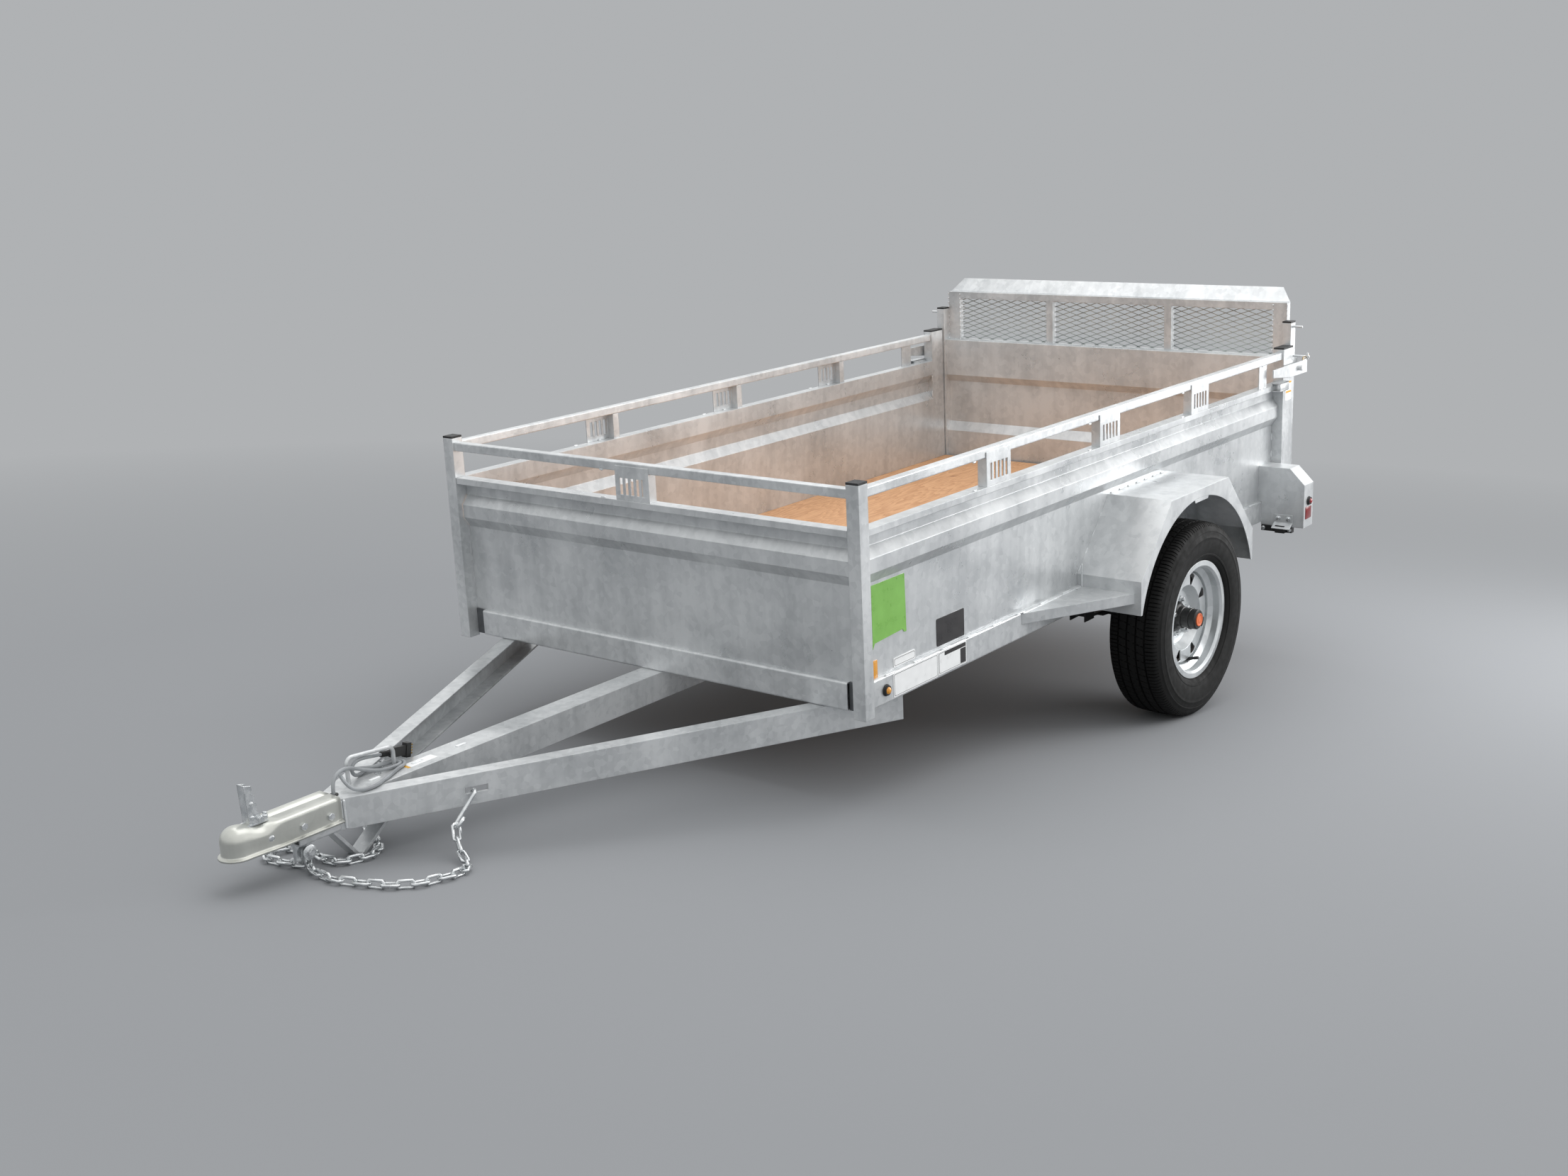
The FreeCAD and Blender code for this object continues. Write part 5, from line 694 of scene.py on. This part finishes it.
thicker = coupler_hood.modifiers.new("pressed_steel", "SOLIDIFY")
thicker.thickness = HOOD_SKIN
thicker.offset = 1
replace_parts(coupler_hood, "coupler")
fixings = bmesh.new()
for side in (1, -1):
    turned(fixings, (38 * side, RIVET_Y, RIVET_Z), (side, 0, 0), RIVET, sides=24)
    for y, z in HOOD_BOLTS:
        hex_bolt(fixings, (HOOD_HALF * side, y, z), (side, 0, 0), 16, 7.5, washer=12)
for y in DIMPLES:
    turned(fixings, (-4, y, 11.6), (0, 0, 1), DIMPLE, sides=24)
fit("coupler_bolts", fixings, zinc_plate)


# The latch lever is a pressed channel that stands up behind the dome. Its side plates have notched
# rear edges, and it turns on a pin in a small bracket with a locknut, which is riveted to the neck.
LEVER_EDGE = ((-1298, 15), (-1302, 112), (-1283, 107), (-1281.5, 98), (-1286, 91), (-1279, 84.5),
              (-1277.5, 78), (-1282, 71), (-1275, 63), (-1273, 54), (-1277, 47), (-1271, 38),
              (-1266, 27), (-1267, 15))
LEVER_WEB = ((-1298, 15), (-1302, 112), (-1299.4, 112), (-1295.4, 15))
BRACKET_FOOT = ((-14, -1308), (14, -1308), (17, -1296), (17, -1252), (-17, -1252), (-17, -1296))
BRACKET_EAR = ((-1291, 18), (-1286, 34), (-1272, 36), (-1262, 30), (-1255, 18))
SMALL_RIVET = [(0, 5.4), (1.6, 5), (2.6, 3.4)]
PIVOT_Y, PIVOT_Z = -1272, 27
LEVER_RIVETS = ((-1288, 66), (-1290, 34))
LOCKNUT = [(0, 8.5), (2, 8.5), (2.2, 5.5), (20, 5.5), (21, 4.5)]
NUT_TILT = (0, 0.2, 1)
lever = bmesh.new()
for low, high in ((-13, -10.4), (10.4, 13)):
    plate(lever, LEVER_EDGE, low, high)
plate(lever, LEVER_WEB, -12.8, 12.8)
latch_lever = fit("latch_lever", lever, zinc_plate, sharp=25)
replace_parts(latch_lever, "coupler_lever")
softer = latch_lever.modifiers.new("pressed_edges", "BEVEL")
softer.width = 0.0007
softer.segments = 2
bracket = bmesh.new()
plate(bracket, BRACKET_FOOT, 16.0, 19.0, "xy")
for side in (1, -1):
    outward = (side, 0, 0)
    plate(bracket, BRACKET_EAR, 14.2 * side - 1.2, 14.2 * side + 1.2)
    hex_bolt(bracket, (15.2 * side, PIVOT_Y, PIVOT_Z), outward, 11, 5, washer=7)
    for y, z in LEVER_RIVETS:
        turned(bracket, (13 * side, y, z), outward, SMALL_RIVET, sides=20)
turned(bracket, (-17, PIVOT_Y, PIVOT_Z), (1, 0, 0), [(0, 3), (34, 3)], sides=16)
turned(bracket, (4, -1254, 13), NUT_TILT, LOCKNUT, sides=24)
hex_bolt(bracket, (4, -1253, 20), NUT_TILT, 14, 8)
turned(bracket, (0, DOME_Y, -34), (0, 0, -1), [(0, 2), (1, 2)], sides=12)
fit("latch_bracket", bracket, zinc_plate)


# Chains, hooks and their bolt are bought-in steel with bright zinc plating, smooth from the bath.
# The links lie as they do in the solids, with their wire grown from 5.0 to 6.4 mm.
coat(zinc_plate, "chain_tab")
coat(zinc_tube, "gate_latches")
WIRE_MORE, SAME_SPOT = 0.0007, 0.00002
CHAIN_BOLT = (-1155, -96.6)
SHANK, WASHER = [(0, 4.6), (40, 4.6)], [(0, 17.2), (0.5, 18), (2.5, 18), (3, 17.2)]
BALL_NUT = (-2, -1236)
for side_name in ("left", "right"):
    chain_shape = bmesh.new()
    chain_shape.from_mesh(frame["nodes"][f"chain_{side_name}"].data)
    bmesh.ops.remove_doubles(chain_shape, verts=chain_shape.verts, dist=SAME_SPOT)
    bmesh.ops.transform(chain_shape, matrix=parked.inverted(), verts=chain_shape.verts)
    chain_shape.normal_update()
    for vertex in chain_shape.verts:
        vertex.co += vertex.normal * WIRE_MORE
    chain = fit(f"safety_chain_{side_name}", chain_shape, zinc_plate, sharp=80)
    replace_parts(chain, f"chain_{side_name}")
coat(zinc_tube, "cable_loop")
chain_bolt = bmesh.new()
turned(chain_bolt, (-20, *CHAIN_BOLT), (1, 0, 0), SHANK, sides=24)
for side in (1, -1):
    turned(chain_bolt, (15 * side, *CHAIN_BOLT), (side, 0, 0), WASHER, sides=40)
    hex_bolt(chain_bolt, (18 * side, *CHAIN_BOLT), (side, 0, 0), 15, 8)
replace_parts(fit("chain_bolt_and_washers", chain_bolt, zinc_plate), "chain_bolt")
tongue_bolts = bmesh.new()
hex_bolt(tongue_bolts, (-24, -912, 7.4), (0, 0, 1), 11, 5, washer=8)
turned(tongue_bolts, (*BALL_NUT, -42), (0, 0, -1), [(0, 10.5), (2.5, 10.5)], sides=28)
turned(tongue_bolts, (*BALL_NUT, -44), (0, 0, -1), [(0, 8), (8, 8), (9, 6.6)], sides=6,
       turn=HEX)
turned(tongue_bolts, (*BALL_NUT, -53), (0, 0, -1), [(0, 4.8), (10, 4.8), (11, 4)], sides=20)
fit("tongue_bolts", tongue_bolts, zinc_plate)


# The lamp boxes carry red tail lamps with ribbed lenses behind, a round side marker with a black
# bezel and a red reflector on the side, and the frame has amber markers and reflectors in front.
def lens(name, deep, bright, cell_mm):
    """Clear coloured acrylic over a pattern of small moulded prisms."""
    material, tree, shader, place = new_finish(name, 0.16)
    prisms = add(tree, "TexVoronoi", {"Vector": place, "Scale": 1000 / cell_mm, "Randomness": 0.15})
    colour = add(tree, "ValToRGB", {"Fac": prisms.outputs["Distance"]},
                 stops=[(0.1, linear(bright)), (0.6, linear(deep))])
    bump = add(tree, "Bump", {"Height": prisms.outputs["Distance"], "Strength": 0.4,
                              "Distance": 0.0008})
    tree.links.new(colour.outputs[0], shader.inputs["Base Color"])
    tree.links.new(bump.outputs[0], shader.inputs["Normal"])
    shader.inputs["Coat Weight"].default_value = 0.6
    shader.inputs["Coat Roughness"].default_value = 0.08
    return material


red_lens = lens("red_acrylic_lens", "#6e0f12", "#b5252a", 4.0)
amber_lens = lens("amber_acrylic_lens", "#d98a1c", "#f6b548", 3.0)
coat(post_plastic, "tail_lamps", "marker_lamps")


def slab(shape, x, y, z, edge):
    """A block in mm between two places each way, with its edges rounded."""
    made = bmesh.ops.create_cube(shape, size=1.0)["verts"]
    for vertex in made:
        vertex.co = level_mm(*((low + high) / 2 + share * (high - low)
                               for (low, high), share in zip((x, y, z), vertex.co)))
    edges = list(dict.fromkeys(near for vertex in made for near in vertex.link_edges))
    bmesh.ops.bevel(shape, geom=edges, offset=edge / 1000, segments=2, profile=0.5,
                    affect="EDGES")


def mirrored(places, side):
    """Places across the trailer, taken to its left or its right side, the smallest first."""
    return sorted(x * side for x in places)


LENS_X, LENS_Y, LENS_LOW, LENS_TALL = (750, 858), (2495, 2498.6), 24.5, 10.2
LENS_ROWS, LENS_PITCH = 8, 10.7
LENS_DOME = [(-1, 9.6), (1.2, 9.2), (3.4, 7.4), (4.8, 4.4), (5.3, 1)]
BEZEL, BEZEL_DEPTH = [(0, 15.8), (2, 15.8), (3.2, 14.8), (3.6, 13.4)], 8
SIDE_MARKER, FRONT_MARKER = (880, 2436, 94), (725.4, 124, 45)
AMBER_REFLECTOR = ((711.5, 714.5), (86, 105), (81, 130))
RED_REFLECTOR = ((879.5, 882.5), (2412, 2457), (32, 74))
SHIELD = ((2398, 44), (2398, 14), (2370, -2), (2369, 0), (2395.8, 16), (2395.8, 44))
LAMP_BOLTS = (((789, 826), 2395.8, 30, 11, 4.5, 9), ((736, 832), 2393, -8, 9, 5, 7))
for side_name, side in (("left", 1), ("right", -1)):
    lamp = bmesh.new()
    for row in range(LENS_ROWS):
        z = LENS_LOW + row * LENS_PITCH
        slab(lamp, mirrored(LENS_X, side), LENS_Y, (z, z + LENS_TALL), 1.6)
    fit(f"tail_lamp_lens_{side_name}", lamp, red_lens)
    domes, amber, bezel = bmesh.new(), bmesh.new(), bmesh.new()
    for shape, (x, y, z) in ((domes, SIDE_MARKER), (amber, FRONT_MARKER)):
        turned(shape, ((x + BEZEL_DEPTH) * side, y, z), (side, 0, 0), LENS_DOME)
        turned(bezel, (x * side, y, z), (side, 0, 0), BEZEL, sides=40)
    slab(amber, mirrored(AMBER_REFLECTOR[0], side), *AMBER_REFLECTOR[1:], 0.8)
    slab(domes, mirrored(RED_REFLECTOR[0], side), *RED_REFLECTOR[1:], 1)
    fit(f"red_markers_{side_name}", domes, red_lens)
    fit(f"amber_markers_{side_name}", amber, amber_lens)
    fit(f"marker_bezels_{side_name}", bezel, post_plastic)
lamp_bolts = bmesh.new()
for places, y, z, across_flats, tall, washer in LAMP_BOLTS:
    for x in places:
        hex_bolt(lamp_bolts, (x, y, z), (0, -1, 0), across_flats, tall, washer)
fit("lamp_bolts", lamp_bolts, zinc_plate)
shield = bmesh.new()
plate(shield, SHIELD, 775, 841)
fit("plate_lamp_shield", shield, zinc_sheet)


# Vinyl labels: a plain green block at the front of the left side, plain white plates with a fine
# printed border below it, one dark square, and a yellow stripe on the tongue. None has any words.
def vinyl(name, colour, darker):
    """Printed film, almost one colour, as smooth as the wall lets it be."""
    return speckled(name, darker, colour, 0.34, depth_mm=0.02)


green_vinyl = vinyl("green_vinyl", "#84bf58", "#7cb551")
white_vinyl = vinyl("white_vinyl", "#f4f5f5", "#eceded")
dark_vinyl = vinyl("charcoal_vinyl", "#2f2c2d", "#262425")
yellow_vinyl = vinyl("yellow_vinyl", "#dfa92e", "#d39d28")


def label(name, outline, low, high, finish, face="yz"):
    """A label stuck on a face of the trailer, from one height above it to another."""
    shape = bmesh.new()
    plate(shape, outline, low, high, face)
    return fit(name, shape, finish)


def soft_corners(left, right, low, high, corner=4.0):
    """The outline of a plate whose corners are rounded."""
    points = []
    for a, b, first in ((right - corner, high - corner, 0), (left + corner, high - corner, 90),
                        (left + corner, low + corner, 180), (right - corner, low + corner, 270)):
        for step in range(4):
            angle = math.radians(first + 30 * step)
            points.append((a + corner * math.cos(angle), b + corner * math.sin(angle)))
    return points


WALL_X, BEAM_X, POST_X, TONGUE_TOP = 711.9, 724.9, 749.6, 7.4
FILM = 1.6
GREEN_OUTLINE = ((89, 327), (235, 327), (238, 171), (228, 172), (222, 181), (98, 174), (89, 160))
PLATES = (("maker_plate", 177, 275, 88, 113, WALL_X), ("frame_plate", 156, 360, 15, 79, BEAM_X),
          ("weights_plate", 363, 499, 17, 79, BEAM_X))
PRINTED = (("border", 3, 1.4, 1.8, dark_vinyl), ("field", 4.1, 1.5, 1.9, white_vinyl))
WEIGHTS = (("weights_header", 392, 494, 65, 75), ("weights_column", 468, 494, 22, 63))
label("green_block", GREEN_OUTLINE, WALL_X, WALL_X + FILM, green_vinyl)
label("dark_square", soft_corners(378, 510, 90, 166), WALL_X, WALL_X + FILM, dark_vinyl)
for name, y0, y1, z0, z1, x in PLATES:
    label(name, soft_corners(y0, y1, z0, z1), x, x + FILM, white_vinyl)
    for part, inset, low, high, film in PRINTED:
        outline = soft_corners(y0 + inset, y1 - inset, z0 + inset, z1 - inset)
        label(f"{name}_{part}", outline, x + low, x + high, film)
for name, y0, y1, z0, z1 in WEIGHTS:
    label(name, soft_corners(y0, y1, z0, z1, 1), BEAM_X + FILM, BEAM_X + FILM + 0.5, dark_vinyl)
label("yellow_stripe", ((-14, -851), (14, -851), (14, -843), (-14, -843)), TONGUE_TOP,
      TONGUE_TOP + 0.5, yellow_vinyl, "xy")
label("tongue_label", soft_corners(-14, 14, -842, -758, 3), TONGUE_TOP, TONGUE_TOP + 0.5,
      white_vinyl, "xy")
label("post_plate", soft_corners(2520, 2568, 420, 487), POST_X, POST_X + 0.7, white_vinyl)
for number, low in enumerate((479, 446)):
    label(f"post_stripe_{number}", ((2522, low), (2566, low), (2566, low + 7), (2522, low + 7)),
          POST_X + 0.5, POST_X + 0.9, yellow_vinyl)


# Outside each rear post a spring clip of brass-coloured wire holds the gate's pin, and a flat bar
# and a short square tube on the rim guide its hooked plate. Small tabs hang under the arches.
CLIP_X, CLIP_WIRE, CLIP_LIFTS = 788, 1.5, (0, 7)
CLIP_ARM, CLIP_BEND = [(0, CLIP_WIRE), (52, CLIP_WIRE)], [(0, CLIP_WIRE), (9, CLIP_WIRE)]
GUIDE, GUIDE_BOLT = ((790, 796), (2595, 2601), (556, 580)), (768, 2598, 526)
SOCKET_X, SOCKET_Y, SOCKET_Z, SOCKET_WALL = (742, 775), (2418, 2490), (467, 497), 3
TAB_X, TAB_OUTLINE = (920.2, 922.3), ((1464, 300), (1565, 300), (1557, 282), (1472, 282))
latch_irons = bmesh.new()
clips = bmesh.new()
for side in (1, -1):
    slab(latch_irons, mirrored(GUIDE[0], side), *GUIDE[1:], 1)
    hex_bolt(latch_irons, (GUIDE_BOLT[0] * side, *GUIDE_BOLT[1:]), (side, 0, 0), 16, 9)
    for lift in CLIP_LIFTS:
        turned(clips, (CLIP_X * side, 2570, 560 + lift), (0, 1, 0.05), CLIP_ARM, sides=12)
    turned(clips, (CLIP_X * side, 2571, 559), (0, 0, 1), CLIP_BEND, sides=12)
fit("latch_irons", latch_irons, zinc_tube, body="gate")
fit("latch_clips", clips, brass, body="gate")
sockets = bmesh.new()
for side in (1, -1):
    for low in (SOCKET_X[0], SOCKET_X[1] - SOCKET_WALL):
        slab(sockets, mirrored((low, low + SOCKET_WALL), side), SOCKET_Y, SOCKET_Z, 0.8)
    for low in (SOCKET_Z[0], SOCKET_Z[1] - SOCKET_WALL):
        slab(sockets, mirrored(SOCKET_X, side), SOCKET_Y, (low, low + SOCKET_WALL), 0.8)
fit("latch_sockets", sockets, zinc_tube)
tabs = bmesh.new()
for side in (1, -1):
    plate(tabs, TAB_OUTLINE, *mirrored(TAB_X, side))
fit("arch_tabs", tabs, zinc_sheet)


# The floor and the backdrop are one plain mid grey, so that the pale zinc stands out. The sky is
# soft, brightest overhead and to the left, with a broad lamp above and two beside the left wall.
FLOOR_HALF = 30
FADE_START, FADE_END = 2.6, 8
SKY_STRENGTH = 1.12
LAMPS = (("overhead", (0.0, 0.6, 5.0), (0, 0.8, 0.4), 6.0, 5.0, 118),
         ("left_rear", (4.3, 5.4, 1.7), (0.4, 1.5, 0.5), 3.0, 2.2, 44),
         ("left_middle", (2.7, 2.9, 1.5), (0.8, 1.1, 0.4), 2.2, 1.6, 46))
floor_mesh = bpy.data.meshes.new("studio_floor")
floor_mesh.from_pydata([(-FLOOR_HALF, -FLOOR_HALF, 0), (FLOOR_HALF, -FLOOR_HALF, 0),
                        (FLOOR_HALF, FLOOR_HALF, 0), (-FLOOR_HALF, FLOOR_HALF, 0)],
                       [], [(0, 1, 2, 3)])
studio_floor = bpy.data.objects.new("studio_floor", floor_mesh)
into_scene(studio_floor)
floor_finish, floor_tree, floor_shader, floor_place = new_finish("studio_floor_paint", 0.9)
floor_shader.inputs["Base Color"].default_value = linear("#8d8f92")
floor_shader.inputs["Specular IOR Level"].default_value = 0.1
distance = add(floor_tree, "VectorMath", {0: floor_place}, operation="LENGTH")
far_off = add(floor_tree, "MapRange", {"Value": distance.outputs["Value"], "From Min": FADE_START,
                                       "From Max": FADE_END})
floor_seen = add(floor_tree, "LightPath")
fade = add(floor_tree, "Math", {0: far_off.outputs[0], 1: floor_seen.outputs["Is Camera Ray"]},
           operation="MULTIPLY")
paper = add(floor_tree, "Emission", {"Color": linear("#b0b2b4")})
floor_mix = add(floor_tree, "MixShader", {0: fade.outputs[0], 1: floor_shader.outputs[0],
                                          2: paper.outputs[0]})
floor_tree.links.new(floor_mix.outputs[0], floor_tree.nodes["Material Output"].inputs["Surface"])
floor_mesh.materials.append(floor_finish)

world = bpy.data.worlds.new("studio")
world.use_nodes = True
bpy.context.scene.world = world
sky_tree = world.node_tree
heading = add(sky_tree, "SeparateXYZ", {"Vector": add(sky_tree, "TexCoord").outputs["Generated"]})
rise = add(sky_tree, "MapRange", {"Value": heading.outputs["Z"], "From Min": 0.0, "From Max": 0.8,
                                  "To Min": 0.0, "To Max": 0.5})
leftward = add(sky_tree, "Math", {0: heading.outputs["X"], 1: 0.28, 2: rise.outputs[0]},
               operation="MULTIPLY_ADD")
from_behind = add(sky_tree, "Math", {0: heading.outputs["Y"], 1: 0.16, 2: leftward.outputs[0]},
                  operation="MULTIPLY_ADD")
sky = add(sky_tree, "ValToRGB", {"Fac": from_behind.outputs[0]},
          stops=[(0.0, linear("#dcdedf")), (0.32, linear("#f2f3f3")), (0.7, linear("#ffffff"))])
seen = add(sky_tree, "LightPath")
backdrop = add(sky_tree, "Mix", {0: seen.outputs["Is Camera Ray"], 6: sky.outputs["Color"],
                                 7: linear("#a7a9ab")}, data_type="RGBA")
sky_tree.links.new(backdrop.outputs[2], sky_tree.nodes["Background"].inputs["Color"])
sky_tree.nodes["Background"].inputs["Strength"].default_value = SKY_STRENGTH
for name, place, aim, wide, high, watts in LAMPS:
    lamp_data = bpy.data.lights.new(name, "AREA")
    lamp_data.shape = "RECTANGLE"
    lamp_data.size = wide
    lamp_data.size_y = high
    lamp_data.energy = watts
    lamp = bpy.data.objects.new(name, lamp_data)
    lamp.location = place
    lamp.visible_camera = False
    lamp.rotation_euler = (Vector(aim) - Vector(place)).to_track_quat("-Z", "Y").to_euler()
    into_scene(lamp)
